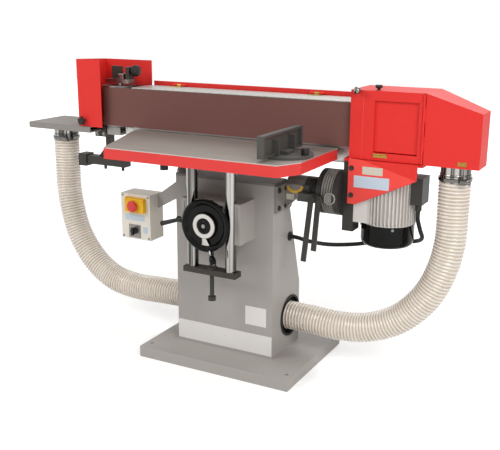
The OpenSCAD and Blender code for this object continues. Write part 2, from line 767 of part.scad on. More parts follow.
// Drum housing: deck over the motor, back, top and a left wall between the belt's two runs
box_y0 = -2;
module drum_housing() {
  color("#e83e38")
  difference() {
    union() {
      block([mount_x0, box_y0, deck_z - deck_t], [chute_x0, box_back, deck_z]);
      block([box_x0, box_y0, box_top - sheet], [chute_x0, box_back, box_top]);
      block([box_x0, box_back - sheet, deck_z - 1], [chute_x0, box_back, box_top]);
      block([box_x0, axis_y - 62, deck_z - 1], [box_x0 + sheet, axis_y + 62, belt_z - 10]);
      block([box_x0, axis_y - 62, cover_z + 4], [box_x0 + sheet, axis_y + 62, box_top]);
    }
    bar_z(deck_z - deck_t - 1, deck_z + 1, drive_x, axis_y, shaft_d + 60);
  }
}

// Chute at the right, with a sloping top, a tapering back and a dust collar below
chute_x0 = door_x + knuckle_d / 2 + 1;
function chute_side(in) = [
  [chute_x0 - (in > 0 ? 1 : 0), deck_z + in],
  [chute_x - in, deck_z + in],
  [chute_x - in, deck_z + chute_end_h - in],
  [chute_x0 - (in > 0 ? 1 : 0), box_top - in]
];
function chute_plan(in) = [
  [chute_x0 - (in > 0 ? 1 : 0), box_y0 - 3 + in],
  [chute_x - in, box_y0 - 3 + in],
  [chute_x - in, box_y0 - 3 + chute_end_d - in],
  [chute_x0 - (in > 0 ? 1 : 0), box_back - in]
];
module chute_solid(in) {
  intersection() {
    plate_xz(-50, box_back + 50, chute_side(in));
    plate_xy(deck_z - 50, box_top + 50, chute_plan(in));
  }
}
door_y = box_y0 - 4;
knuckles = 5;
knuckle_l = (box_top - deck_z - 6) / knuckles;
module door_knuckle(k) {
  z = deck_z + 3 + k * knuckle_l;
  bar_z(z + gap / 2, z + knuckle_l - gap / 2, door_x, door_y, knuckle_d - 1);
}
module chute() {
  color("#e83e38")
  difference() {
    union() {
      difference() {
        chute_solid(0);
        chute_solid(sheet);
      }
      bar_z(deck_z - collar_l, deck_z + 1, collar_right[0], collar_right[1], collar_d);
      for (k = [1, 3]) {
        door_knuckle(k);
        block([door_x + 2, door_y, deck_z + 3 + k * knuckle_l + gap / 2],
              [chute_x0 + 2, box_y0 - 1, deck_z + 3 + (k + 1) * knuckle_l - gap / 2]);
      }
      bar_z(deck_z + 3, box_top - 3, door_x, door_y, pin_d);
    }
    bar_z(deck_z - collar_l - 1, deck_z + sheet + 1, collar_right[0], collar_right[1], collar_bore);
  }
}

// Drum door with a hatch opening, on the piano hinge
hatch_w = 152;
hatch_edge = [16, 32];
hatch_x1 = door_x - hatch_edge[0];
hatch_x0 = hatch_x1 - hatch_w;
hatch_z0 = deck_z + 27;
hatch_z1 = box_top - hatch_edge[1];
hatch_pin_z = hatch_z0 + 5;
hatch_in = 9;
hatch_pin_d = 2;
hatch_y0 = box_y0 - gap - sheet + hatch_in;
hatch_pin_y = hatch_y0 + sheet / 2;
module drum_door() {
  y0 = box_y0 - gap - sheet;
  y1 = box_y0 - gap;
  color("#e83e38")
  difference() {
    union() {
      difference() {
        union() {
          block([box_x0, y0, deck_z + 2], [door_x - 5, y1, box_top]);
          block([hatch_x0 - sheet, y0, hatch_z0 - sheet], [hatch_x1 + sheet, hatch_y0 + sheet, hatch_z1 + sheet]);
        }
        block([hatch_x0, y0 - 1, hatch_z0], [hatch_x1, hatch_y0 + sheet + 1, hatch_z1]);
      }
      block([box_x0, y0, deck_z + 2], [box_x0 + sheet, y1 + 8, deck_z + 30]);
      for (k = [0, 2, 4]) {
        door_knuckle(k);
        block([door_x - 6, y0, deck_z + 3 + k * knuckle_l + gap / 2],
              [door_x - 1, y1, deck_z + 3 + (k + 1) * knuckle_l - gap / 2]);
      }
      bar_x(hatch_x0 - 1, hatch_x1 + 1, hatch_pin_y, hatch_pin_z, hatch_pin_d);
    }
    bar_z(deck_z, box_top + 1, door_x, door_y, pin_d + 2 * run);
  }
}
module hatch() {
  x0 = hatch_x0 + gap;
  x1 = hatch_x1 - gap;
  color("#d83832")
  difference() {
    union() {
      block([x0, hatch_y0, hatch_pin_z], [x1, hatch_y0 + sheet, hatch_z1 - gap]);
      bar_x(x0, x1, hatch_pin_y, hatch_pin_z, 2 * sheet);
    }
    bar_x(x0 - 1, x1 + 1, hatch_pin_y, hatch_pin_z, hatch_pin_d + 2 * run);
  }
}

// Lower red panel in front of the motor, and the dark bar that carries the head
panel_clear = 15.5;
panel_y1 = min(axis_y - motor_d / 2 - 4, box_y0 - panel_clear);
panel_x0 = mount_x0 + 23;
panel_drop = 154;
panel_foot = 30;
panel_side = 53;
module motor_panel() {
  color("#d83832") {
    plate_xz(panel_y1 - sheet, panel_y1, [[panel_x0, deck_z], [panel_x0, deck_z - panel_drop],
      [panel_x0 + panel_foot, deck_z - panel_drop], [door_x - 8, deck_z - panel_side], [door_x - 6, deck_z]]);
    block([panel_x0, panel_y1 - 1, deck_z - sheet], [door_x - 6, box_y0, deck_z]);
  }
}
mount_z0 = 540;
module motor_mount() {
  color("#33312f")
  difference() {
    block([mount_x0, box_y0, mount_z0], [mount_x1, box_y0 + 60, deck_z - deck_t]);
    block([mount_x0 + 6, box_y0 + 6, mount_z0 - 1], [mount_x1 - 6, box_y0 + 54, deck_z - deck_t - 8]);
  }
}

// Motor, hung from the deck with its shaft upward
motor_z1 = deck_z - deck_t;
bell_h = 42;
body_z1 = motor_z1 - bell_h;
body_z0 = body_z1 - motor_h;
fan_z0 = body_z0 - fan_h;
core_d = motor_d - 26;
spigot_d = motor_d - 12;
spigot_h = 8;
rotor_in = 30;
rotor_clear = 38;
fan_drop = 50;
fin_t = 2.4;
foot_l = 62;
module motor_body() {
  color("#beb7b2")
  translate([drive_x, axis_y, 0])
  difference() {
    union() {
      translate([0, 0, body_z0]) cylinder(d = core_d, h = motor_h + 1);
      translate([0, 0, body_z0 - spigot_h]) cylinder(d = spigot_d, h = spigot_h + 4);
      translate([0, 0, body_z1]) cylinder(d = motor_d - 16, h = bell_h - 12);
      translate([0, 0, motor_z1 - 14]) cylinder(d = motor_d - 4, h = 14);
      for (i = [0 : motor_fins - 1])
        rotate(i * 360 / motor_fins)
          translate([core_d / 2 - 2, -fin_t / 2, body_z0 + 3]) cube([(motor_d - core_d) / 2 + 2, fin_t, motor_h - 6]);
      translate([mount_x1 - drive_x, 0, 0]) block([0, -84, body_z0 + 6], [foot_l, -24, body_z1 - 6]);
    }
    translate([0, 0, body_z0 + 12]) cylinder(d = core_d - 36, h = motor_h - 24);
    translate([0, 0, body_z0 - spigot_h - 1]) cylinder(d = shaft_d + 2 * run, h = spigot_h + motor_h + bell_h + 3);
  }
}
fan_r = motor_d / 2 - 3;
module fan_cover() {
  color("#282624")
  translate([drive_x, axis_y, 0])
  difference() {
    translate([0, 0, fan_z0]) rotate_extrude()
      polygon([[0, 0], [fan_r - 20, 0], [fan_r - 10, 3], [fan_r - 3, 10], [fan_r, 20], [fan_r, fan_h], [0, fan_h]]);
    translate([0, 0, fan_z0 + 6]) cylinder(d = motor_d - 46, h = 10);
    translate([0, 0, fan_z0 + 15]) cylinder(d = spigot_d, h = fan_h);
    for (i = [0 : 11])
      rotate(i * 30) translate([22, -4, fan_z0 - 1]) cube([44, 8, 10]);
  }
}
module terminal_box() {
  x0 = drive_x + motor_d / 2 - 6;
  color("#b0aaa5")
  difference() {
    block([x0, axis_y - 46, body_z1 - 95], [x0 + 40, axis_y + 34, body_z1 - 2]);
    translate([drive_x, axis_y, body_z0]) cylinder(d = motor_d + 0.4, h = motor_h);
  }
  color("#33312f")
  bar_z(body_z1 - 118, body_z1 - 95, x0 + 22, axis_y - 20, 22);
}

// Turning set: rubber-faced drum, shaft and rotor, with the fan below
module drive_drum() {
  color("#4b4947") {
    difference() {
      bar_z(drum_z0, drum_z1, drive_x, axis_y, drum_d);
      bar_z(drum_z0 + 20, drum_z1 + 1, drive_x, axis_y, drum_d - 24);
    }
    bar_z(drum_z0 - 12, drum_z1 - 6, drive_x, axis_y, shaft_d + 24);
    bar_z(body_z0 - 60, drum_z1, drive_x, axis_y, shaft_d);
    bar_z(body_z0 + rotor_in, body_z1 - rotor_in, drive_x, axis_y, core_d - rotor_clear);
  }
}
module motor_fan() {
  color("#55524f")
  translate([drive_x, axis_y, body_z0 - fan_drop])
  difference() {
    union() {
      cylinder(d = shaft_d + 18, h = 30);
      cylinder(d = motor_d - 50, h = 4);
      for (i = [0 : 6])
        rotate(i * 360 / 7) translate([18, -1.5, 2]) cube([motor_d / 2 - 46, 3, 24]);
    }
    translate([0, 0, -1]) cylinder(d = shaft_d, h = 32);
  }
}

// Ribbed trunnion between the tilt bearing and the motor bar, on its shaft
trunnion_x0 = bracket_x1 + gap;
trunnion_ribs = 5;
module tilt_trunnion() {
  l = mount_x0 - trunnion_x0;
  color("#8f8b86") {
    difference() {
      bar_x(trunnion_x0, mount_x0, tilt_y, tilt_z, trunnion_d);
      for (i = [0 : trunnion_ribs - 1]) {
        x = trunnion_x0 + 16 + i * (l - 32) / trunnion_ribs;
        difference() {
          bar_x(x, x + (l - 32) / trunnion_ribs - 6, tilt_y, tilt_z, trunnion_d + 1);
          bar_x(x - 1, x + l, tilt_y, tilt_z, trunnion_d - 14);
        }
      }
    }
    bar_x(col_x1 + 8, trunnion_x0 + 1, tilt_y, tilt_z, tilt_d);
    bar_y(tilt_y - trunnion_d / 2 - 2, tilt_y - 20, mount_x0 - 25, tilt_z - 8, 44);
  }
}

// Clamp levers that hang from the bracket
lever_x = [320, 342];
lever_y = [lug_y0 - 23, lug_y0 - 11];
lever_z = tilt_z - 12;
lever_t = 10;
lever_l = 208;
lever_pin_d = 12;
module tilt_lever(i, lean, l) {
  color("#232221") {
    bar_y(lever_y[i], lever_y[i] + lever_t, lever_x[i], lever_z, 28);
    bar_y(lever_y[i] - 2, lug_y1, lever_x[i], lever_z, lever_pin_d);
    translate([lever_x[i], lever_y[i], lever_z]) rotate([0, lean, 0])
      translate([-9, 1, -l]) cube([18, lever_t - 2, l]);
  }
}
module tilt_lever_front() {
  tilt_lever(0, 6, lever_l + 16);
}
module tilt_lever_rear() {
  tilt_lever(1, 4, lever_l - 24);
}

// Idler: drum on two bearings, standing on a carriage that slides on two rods
axle_d = 25;
rod_d = 16;
rod_gap = 44;
rod_z = beam_z1 - 20;
module idler_drum() {
  color("#8f8c88")
  difference() {
    bar_z(drum_z0, drum_z1, idler_x, axis_y, drum_d);
    bar_z(drum_z0 + 18, drum_z1 - 18, idler_x, axis_y, drum_d - 16);
    bar_z(drum_z0 - 1, drum_z1 + 1, idler_x, axis_y, axle_d + 2 * run);
  }
}
bridge_z = drum_z1 + 8;
track_z = bridge_z + 50;
upright_x = idler_x + 44;
upright_t = 16;
module tension_carriage() {
  color("#b4b0aa")
  difference() {
    union() {
      block([idler_x - 43, axis_y - 36, rod_z - 16], [idler_x + 22, axis_y + 36, rod_z + 16]);
      bar_z(rod_z - 10, drum_z0 - gap, idler_x, axis_y, axle_d + 12);
      bar_z(rod_z - 16, bridge_z + 20, idler_x, axis_y, axle_d);
      block([idler_x - 50, axis_y - 22, bridge_z], [upright_x + upright_t, axis_y + 22, bridge_z + 16]);
      block([upright_x, axis_y - 18, bridge_z], [upright_x + upright_t, axis_y + 18, bridge_z + 64]);
    }
    for (s = [-1, 1])
      bar_x(idler_x - 60, idler_x + 60, axis_y + s * rod_gap / 2, rod_z, rod_d + 2 * run);
    bar_x(upright_x - 1, upright_x + upright_t + 1, axis_y, track_z, knob_screw_d + 2 * run);
  }
}
module tracking_knob() {
  color("#1f1e1d") {
    bar_x(upright_x - 6, upright_x + upright_t + 20, axis_y, track_z, knob_screw_d);
    translate([upright_x + upright_t + 6, axis_y, track_z]) rotate([0, 90, 0])
      rotate_extrude() polygon([[0, 0], [12, 0], [22, 8], [23, 16], [19, 28], [0, 32]]);
  }
}

// Three-sided guard round the idler, open at the top and towards the belt
guard_x0 = -737;
guard_x1 = -622;
guard_back_x1 = cover_x0 - 6;
guard_y0 = -22;
guard_y1 = axis_y + belt_r + belt_t + 7;
guard_top = 1092;
guard_back_top = 1084;
module idler_guard() {
  color("#e83e38") {
    block([guard_x0, guard_y0, end_top], [guard_x1, guard_y0 + sheet, guard_top]);
    plate_yz(guard_x0, guard_x0 + sheet, [[guard_y0, end_top], [guard_y1 + sheet, end_top],
      [guard_y1 + sheet, guard_back_top], [guard_y0, guard_top]]);
    block([guard_x0, guard_y1, end_top], [guard_back_x1, guard_y1 + sheet, guard_back_top]);
    block([guard_x0, guard_y0, end_top], [guard_x0 + 34, guard_y1 + sheet, end_top + sheet]);
  }
}

// Hollow end table: dust mouth towards the idler, collar below
end_x0 = -1000;
end_x1 = -680;
end_half = 110;
end_y0 = axis_y - end_half;
end_y1 = axis_y + end_half;
end_wall = 4;
module end_table() {
  color("#8e847d")
  difference() {
    union() {
      block([end_x0, end_y0, end_top - end_h], [end_x1, end_y1, end_top]);
      bar_z(end_top - end_h - collar_l, end_top - end_h + 1, collar_left[0], collar_left[1], collar_d);
    }
    block([end_x0 + end_wall, end_y0 + end_wall, end_top - end_h + end_wall],
          [end_x1 + 1, end_y1 - end_wall, end_top - end_wall]);
    bar_z(end_top - end_h - collar_l - 1, end_top - end_h + end_wall + 1, collar_left[0], collar_left[1], collar_bore);
  }
}

// What carries the idler end: rods, end block, post and arm
arm_z0 = 655;
arm_z1 = 690;
block_lap = 32;
block_x0 = end_x1 - block_lap;
block_reach = 47;
block_x1 = idler_x - block_reach;
module end_carrier() {
  table_bottom = end_top - end_h;
  color("#3a3836") {
    for (s = [-1, 1])
      bar_x(block_x1 - 1, beam_x0, axis_y + s * rod_gap / 2, rod_z, rod_d);
    block([block_x0, axis_y - 38, table_bottom - 24], [block_x1, axis_y + 38, table_bottom]);
    block([end_x1 + 4, axis_y - 38, table_bottom - 1], [block_x1, axis_y + 38, rod_z + 16]);
    block([block_x1 - 24, axis_y - 14, arm_z1 - 1], [block_x1, axis_y + 14, table_bottom - 23]);
    block([end_x1 - 135, axis_y - 20, arm_z0], [block_x1 + 74, axis_y + 20, arm_z1]);
    block([end_x1 - 137, axis_y - 26, arm_z0 - 10], [end_x1 - 97, axis_y + 26, arm_z1 + 6]);
    plate_xz(axis_y - 5, axis_y + 5, [[end_x1 - 46, arm_z1 - 1], [block_x1 - 23, arm_z1 - 1], [block_x1 - 23, arm_z1 + 52]]);
    for (x = [end_x1 - 16, block_x1 + 48])
      bar_z(arm_z0 - 18, arm_z0 + 1, x, axis_y, 12);
  }
}

// Routes of the two hoses and the motor cable
cable_d = 15;
cable_y = 29;
cable_z = 480;
cable_hole_d = 26;
collar_end_z = [end_top - end_h - collar_l - gap, deck_z - collar_l - gap];
left_route = [
  [collar_left[0], collar_left[1], collar_end_z[0]], [collar_left[0], collar_left[1], collar_end_z[0] - hose_d],
  [-892, 76, 540], [-870, 69, 440], [-830, 62, 340], [-752, 55, 242], [-650, 48, 180], [-530, 43, 160],
  [-410, 42, 163], [col_x0 + port_in - hose_d, hose_port_y, hose_port_z], [col_x0 + port_in, hose_port_y, hose_port_z]
];
right_route = [
  [collar_right[0], collar_right[1], collar_end_z[1]], [collar_right[0], collar_right[1], collar_end_z[1] - hose_d],
  [766, 63, 530], [746, 60, 430], [698, 56, 325], [612, 52, 232], [502, 47, 178], [390, 43, 162],
  [col_x1 - port_in + hose_d, hose_port_y, hose_port_z], [col_x1 - port_in, hose_port_y, hose_port_z]
];
gland_drop = 118;
gland_at = [drive_x + motor_d / 2 + 16, axis_y - 20, body_z1 - gland_drop - gap];
cable_route = [
  gland_at, gland_at - [0, 0, 30], [656, 80, 555], [650, 130, 512], [610, 190, 480], [540, 214, 462], [460, 190, 455],
  [390, 130, 452], [320, 75, 456], [260, 40, 468], [215, cable_y, 479], [col_x1 - 12, cable_y, cable_z]
];

// Smooth curve through the points of a route
function route_point(p, t) =
  let (n = len(p) - 1, i = min(n - 1, max(0, floor(t))), u = t - i,
       a = p[max(0, i - 1)], b = p[i], c = p[i + 1], d = p[min(n, i + 2)])
  0.5 * (2 * b + (c - a) * u + (2 * a - 5 * b + 4 * c - d) * u * u + (3 * b - a - 3 * c + d) * u * u * u);
function route_way(p, t) =
  let (w = route_point(p, min(len(p) - 1, t + 0.01)) - route_point(p, max(0, t - 0.01))) w / norm(w);

// Places along a route at even lengths
route_steps = 16;
function route_table(p, t = 0, s = 0) =
  t >= len(p) - 1 ? [[s, t]]
  : concat([[s, t]], route_table(p, t + 1 / route_steps,
      s + norm(route_point(p, t + 1 / route_steps) - route_point(p, t))));
function route_length(table) = table[len(table) - 1][0];

// One ring of a tube, square to the route
function route_ring(p, t, r, sides) =
  let (w = route_way(p, t), v = cross(w, [0, 1, 0]), e = v / norm(v), f = cross(w, e), c = route_point(p, t))
  [for (k = [0 : sides - 1]) c + r * (cos(k * 360 / sides) * e + sin(k * 360 / sides) * f)];

// Faces between rings that follow each other
function tube_faces(first, rings, sides, flip) =
  [for (i = [0 : rings - 2], k = [0 : sides - 1])
    let (a = first + i * sides + k, b = first + i * sides + (k + 1) % sides, c = a + sides, d = b + sides)
    each flip ? [[a, b, c], [b, d, c]] : [[a, c, b], [b, c, d]]];

// Ribbed hose with its bore: two rings a rib outside, one ring every second rib inside
hose_sides = 8;
module ribbed_hose(p) {
  table = route_table(p);
  l = route_length(table);
  pitch = l / hose_ribs;
  outer = concat([[0, hose_d / 2 - hose_rib]],
    [for (i = [0 : hose_ribs - 1]) each [[(i + 0.3) * pitch, hose_d / 2], [(i + 0.8) * pitch, hose_d / 2 - hose_rib]]],
    [[l, hose_d / 2 - hose_rib]]);
  inner = [for (i = [0 : ceil(hose_ribs / 2)]) min(l, i * 2 * pitch)];
  n = len(outer);
  m = len(inner);
  first = n * hose_sides;
  points = concat(
    [for (o = outer) each route_ring(p, lookup(o[0], table), o[1], hose_sides)],
    [for (s = inner) each route_ring(p, lookup(s, table), hose_bore_d / 2, hose_sides)]);
  ends = [for (k = [0 : hose_sides - 1])
    let (j = (k + 1) % hose_sides, a = (n - 1) * hose_sides, b = first + (m - 1) * hose_sides)
    each [[k, j, first + k], [j, first + j, first + k], [a + k, b + k, a + j], [a + j, b + k, b + j]]];
  polyhedron(points, concat(tube_faces(0, n, hose_sides, false), tube_faces(first, m, hose_sides, true), ends));
}

// Plain round cord along a route
cord_sides = 8;
cord_step = 2.5;
module cord(p, d) {
  table = route_table(p);
  l = route_length(table);
  n = ceil(l / (cord_step * d)) + 1;
  points = [for (i = [0 : n - 1]) each route_ring(p, lookup(i * l / (n - 1), table), d / 2, cord_sides)];
  ends = [for (k = [1 : cord_sides - 2])
    let (a = (n - 1) * cord_sides) each [[0, k, k + 1], [a, a + k + 1, a + k]]];
  polyhedron(points, concat(tube_faces(0, n, cord_sides, false), ends));
}
module dust_hose_left() {
  color("#c8beaf") ribbed_hose(left_route);
}
module dust_hose_right() {
  color("#c8beaf") ribbed_hose(right_route);
}
module motor_cable() {
  color("#1f1e1d") cord(cable_route, cable_d);
}

base_plate();
column();
column_lid();
hose_edgings();
dust_manifold();
lift_bracket();
tilt_bracket();
tilt_bearing();
control_arm();
control_box();
control_cover();
switch_base();
switch_flap();
stop_button();
selector_knob();
table_top();
table_posts();
crossbar();
lift_nut();
table_knob();
miter_base();
miter_fence();
miter_knob();
handwheel();
wheel_ring();
wheel_shaft();
crank_link();
crank_grip();
lift_spindle();
table_lock();
head_beam();
platen();
graphite_pad();
sanding_belt();
belt_top_cover();
hinge_leaves();
rear_cover();
drum_housing();
chute();
drum_door();
hatch();
motor_panel();
motor_mount();
motor_body();
fan_cover();
terminal_box();
drive_drum();
motor_fan();
tilt_trunnion();
tilt_lever_front();
tilt_lever_rear();
idler_drum();
tension_carriage();
tracking_knob();
idler_guard();
end_table();
end_carrier();
dust_hose_left();
dust_hose_right();
motor_cable();
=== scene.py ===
import json
import math

import bmesh
import bpy
from mathutils import Matrix, Vector

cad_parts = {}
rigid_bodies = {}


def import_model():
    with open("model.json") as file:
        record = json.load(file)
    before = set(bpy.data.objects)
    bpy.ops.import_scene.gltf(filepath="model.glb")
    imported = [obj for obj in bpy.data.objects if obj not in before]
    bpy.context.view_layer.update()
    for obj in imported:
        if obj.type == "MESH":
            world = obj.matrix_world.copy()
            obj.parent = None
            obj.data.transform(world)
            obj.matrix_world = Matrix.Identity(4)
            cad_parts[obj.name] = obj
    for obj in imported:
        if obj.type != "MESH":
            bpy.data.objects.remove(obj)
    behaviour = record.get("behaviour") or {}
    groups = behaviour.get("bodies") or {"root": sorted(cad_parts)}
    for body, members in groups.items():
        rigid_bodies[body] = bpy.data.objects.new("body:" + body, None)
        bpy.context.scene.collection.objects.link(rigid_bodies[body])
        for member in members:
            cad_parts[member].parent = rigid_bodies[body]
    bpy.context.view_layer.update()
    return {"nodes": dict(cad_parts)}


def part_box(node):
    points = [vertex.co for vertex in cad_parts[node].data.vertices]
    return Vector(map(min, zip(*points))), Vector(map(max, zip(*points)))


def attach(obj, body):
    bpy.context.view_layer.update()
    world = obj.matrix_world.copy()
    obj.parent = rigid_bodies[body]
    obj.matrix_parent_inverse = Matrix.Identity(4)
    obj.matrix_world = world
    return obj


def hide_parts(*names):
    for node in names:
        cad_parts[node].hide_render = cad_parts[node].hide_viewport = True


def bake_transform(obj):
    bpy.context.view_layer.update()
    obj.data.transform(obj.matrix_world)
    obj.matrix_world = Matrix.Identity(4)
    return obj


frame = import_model()
nodes = frame["nodes"]
print("edge sander: frame loaded,", len(nodes), "nodes")


# node helpers

class Flow:                          # one node value; operators add Math nodes
    def __init__(self, owner, socket):
        self.owner = owner
        self.socket = socket

    def mathsWith(self, operation, first, second):
        return self.owner.add("ShaderNodeMath", {"operation": operation}, {0: first, 1: second})

    def __add__(self, other):
        return self.mathsWith("ADD", self, other)

    def __radd__(self, other):
        return self.mathsWith("ADD", other, self)

    def __sub__(self, other):
        return self.mathsWith("SUBTRACT", self, other)

    def __rsub__(self, other):
        return self.mathsWith("SUBTRACT", other, self)

    def __mul__(self, other):
        return self.mathsWith("MULTIPLY", self, other)

    def __rmul__(self, other):
        return self.mathsWith("MULTIPLY", other, self)

    def __gt__(self, other):
        return self.mathsWith("GREATER_THAN", self, other)

    def __lt__(self, other):
        return self.mathsWith("LESS_THAN", self, other)


class NodeTree:                      # adds nodes and feeds their sockets
    def __init__(self, tree):
        self.tree = tree

    def add(self, kind, settings=None, sockets=None, out=0):
        node = self.tree.nodes.new(kind)
        for key, value in (settings or {}).items():
            setattr(node, key, value)
        for key, value in (sockets or {}).items():
            self.feed(node.inputs[key], value)
        return Flow(self, node.outputs[out])

    def feed(self, socket, value):
        if isinstance(value, Flow):
            self.tree.links.new(value.socket, socket)
        else:
            socket.default_value = value

    def seen(self):                  # 1 for camera, glossy and transmission rays
        path = self.tree.nodes.new("ShaderNodeLightPath")
        camera, glossy, through = [Flow(self, path.outputs["Is %s Ray" % kind])
                                   for kind in ("Camera", "Glossy", "Transmission")]
        return camera.mathsWith("MAXIMUM", camera.mathsWith("MAXIMUM", camera, glossy), through)


class Finish(NodeTree):              # one material and its nodes
    def __init__(self, name, roughness=0.5, metallic=0.0, **fixed):
        self.material = bpy.data.materials.new(name)
        self.material.use_nodes = True
        super().__init__(self.material.node_tree)
        self.shader = self.tree.nodes["Principled BSDF"]
        self.place = self.add("ShaderNodeTexCoord", out="Object")
        self.set("Roughness", roughness)
        self.set("Metallic", metallic)
        for key, value in fixed.items():
            self.set(key, value)

    def set(self, name, value):
        self.feed(self.shader.inputs[name.replace("_", " ")], value)

    def noise(self, scale, detail=2.0, stretch=(1, 1, 1), rough=0.5):
        where = self.add("ShaderNodeMapping", None, {"Vector": self.place, "Scale": stretch})
        return self.add("ShaderNodeTexNoise", None,
                        {"Vector": where, "Scale": scale, "Detail": detail, "Roughness": rough})

    def steps(self, value, low, high):          # 0 below low, 1 above high
        return self.add("ShaderNodeMapRange", {"clamp": True},
                        {"Value": value, "From Min": low, "From Max": high, "To Min": 0.0, "To Max": 1.0})

    def patches(self, scale, detail, low, high, rough=0.5):
        return self.steps(self.noise(scale, detail, rough=rough), low, high)

    def mix(self, factor, first, second):
        return self.add("ShaderNodeMix", {"data_type": "RGBA"}, {0: factor, 6: first, 7: second}, out=2)

    def axes(self, vector=None):
        node = self.tree.nodes.new("ShaderNodeSeparateXYZ")
        self.feed(node.inputs[0], vector or self.place)
        return [Flow(self, s) for s in node.outputs]

    def bump(self, height, strength, distance):
        self.set("Normal", self.add("ShaderNodeBump", None, {"Height": height, "Strength": strength,
                                                             "Distance": distance}))


def tint(code):                      # six hex digits as a linear colour
    parts = [int(code[i:i + 2], 16) / 255 for i in (0, 2, 4)]
    return tuple(p / 12.92 if p < 0.04045 else ((p + 0.055) / 1.055) ** 2.4 for p in parts) + (1.0,)


# finishes: the shares say how strongly a pattern changes colour or roughness

paintShares = {"cloud": 0.07, "cloudRough": 0.10, "scuffRough": 0.12}


def paint(name, colour, roughness=0.38, grain=900.0, depth=0.00012, dust="8a8580", worn=0.10):
    f = Finish(name, Specular_IOR_Level=0.28)
    broad = f.noise(scale=5.0, detail=3.0)
    scuff = f.patches(scale=38.0, detail=5.0, low=0.60, high=0.76, rough=0.62)
    shade = f.mix(f.steps(broad, low=0.30, high=0.70), tint(colour), tint(dust))
    base = f.mix(paintShares["cloud"], tint(colour), shade)
    f.set("Base Color", f.mix(scuff * worn, base, tint(dust)))
    f.set("Roughness", roughness + paintShares["cloudRough"] * broad + paintShares["scuffRough"] * scuff)
    f.bump(f.noise(grain), strength=0.22, distance=depth)
    return f.material


metalShares = {"lineRough": 0.14, "cloudRough": 0.08}


def metal(name, colour, roughness, stretch=(1, 1, 1), scale=260.0, dark="6a6560", stain=0.35):
    f = Finish(name, metallic=1.0)
    line = f.noise(scale, detail=3.0, stretch=stretch)
    cloud = f.patches(scale=9.0, detail=4.0, low=0.42, high=0.72)
    f.set("Base Color", f.mix(cloud * stain, tint(colour), tint(dark)))
    f.set("Roughness", roughness + metalShares["lineRough"] * line + metalShares["cloudRough"] * cloud)
    f.bump(line, strength=0.18, distance=0.00008)
    return f.material


chromeShares = {"rough": 0.08, "fineRough": 0.06, "streakRough": 0.05}


def chromedBar():                    # bright bar; painted reflection: dark and pale bands along z in its colour, fine streaks from drawing and polishing in its roughness
    f = Finish("chromedBar", metallic=1.0)
    paintedSheen = f.steps(f.noise(scale=150.0, stretch=(1, 0.25, 0.006)), low=0.42, high=0.58)
    fine = f.noise(scale=900.0, stretch=(1, 1, 0.03))
    # painted reflection: the colour swings between dark and pale bands along z
    f.set("Base Color", f.mix(paintedSheen, tint("4a4845"), tint("a5a3a0")))
    f.set("Roughness", chromeShares["rough"] + chromeShares["fineRough"] * fine
          + chromeShares["streakRough"] * paintedSheen)
    f.bump(fine, strength=0.08, distance=0.00005)
    return f.material


def plastic(name, colour, roughness=0.4, grain=1500.0, coat=0.0, worn=0.06, shine=0.25, smearRough=0.12):
    f = Finish(name, Coat_Weight=coat, Coat_Roughness=0.08, Specular_IOR_Level=shine)
    smear = f.patches(scale=22.0, detail=4.0, low=0.45, high=0.75)
    f.set("Base Color", f.mix(smear * worn, tint(colour), tint("8a8784")))
    f.set("Roughness", roughness + smearRough * smear)
    f.bump(f.noise(grain), strength=0.15, distance=0.00006)
    return f.material


def galvanised(roughness=0.36, cellRough=0.16):
    f = Finish("galvanisedSheet", metallic=0.85)
    cell = f.add("ShaderNodeTexVoronoi", {"feature": "F1"}, {"Vector": f.place, "Scale": 95.0}, out="Color")
    grey = f.add("ShaderNodeRGBToBW", None, {0: cell})
    f.set("Base Color", f.mix(grey, tint("c4c4c0"), tint("a2a29d")))
    f.set("Roughness", roughness + cellRough * grey)
    f.bump(f.noise(scale=400.0), strength=0.10, distance=0.00008)
    return f.material


def abrasiveCloth(weaveShare=0.35, gritShare=0.5):
    f = Finish("abrasiveCloth", roughness=0.85)
    grit = f.noise(scale=2600.0)
    weave = f.patches(scale=5.0, detail=3.0, low=0.30, high=0.72)
    tone = f.mix(weave * weaveShare, tint("6d443e"), tint("603d38"))
    f.set("Base Color", f.mix(f.steps(grit, low=0.55, high=0.72) * gritShare, tone, tint("9a6f64")))
    f.bump(grit, strength=0.5, distance=0.0003)
    return f.material


tableZones = {"skin": 0.0004, "lip": 0.0035, "under": -0.5}
tableShares = {"cloud": 0.35, "red": 0.10, "topMetal": 0.35, "lipMetal": 0.5,
               "rough": 0.40, "millRough": 0.14, "lipRough": 0.06}


def tableCasting(topZ):              # milled top, bright lip, red sides, unpainted underside
    f = Finish("tableCasting")
    z = f.axes()[2]
    top = z > topZ - tableZones["skin"]
    lip = (z > topZ - tableZones["lip"]) * (1 - top)
    mill = f.noise(scale=140.0, detail=4.0, stretch=(0.05, 1.6, 1.0))
    cloud = f.patches(scale=7.0, detail=4.0, low=0.36, high=0.70)
    iron = f.mix(f.steps(mill, low=0.34, high=0.70), tint("9f968f"), tint("8b837c"))
    iron = f.mix(cloud * tableShares["cloud"], iron, tint("a0968e"))
    fade = f.patches(scale=6.0, detail=2.0, low=0.35, high=0.7)
    red = f.mix(fade * tableShares["red"], tint("dc2f2a"), tint("c9322d"))
    raw = f.mix(cloud, tint("6f6a65"), tint("5f5b57"))
    facing = f.axes(f.add("ShaderNodeNewGeometry", out="Normal"))[2]
    side = f.mix(facing < tableZones["under"], red, raw)
    f.set("Base Color", f.mix(lip, f.mix(top, side, iron), tint("b5b0aa")))
    f.set("Metallic", tableShares["topMetal"] * top + tableShares["lipMetal"] * lip)
    f.set("Roughness", tableShares["rough"] + tableShares["millRough"] * mill * top
          - tableShares["lipRough"] * lip)
    f.bump(f.mix(top, f.noise(scale=900.0), mill), strength=0.15, distance=0.0001)
    return f.material


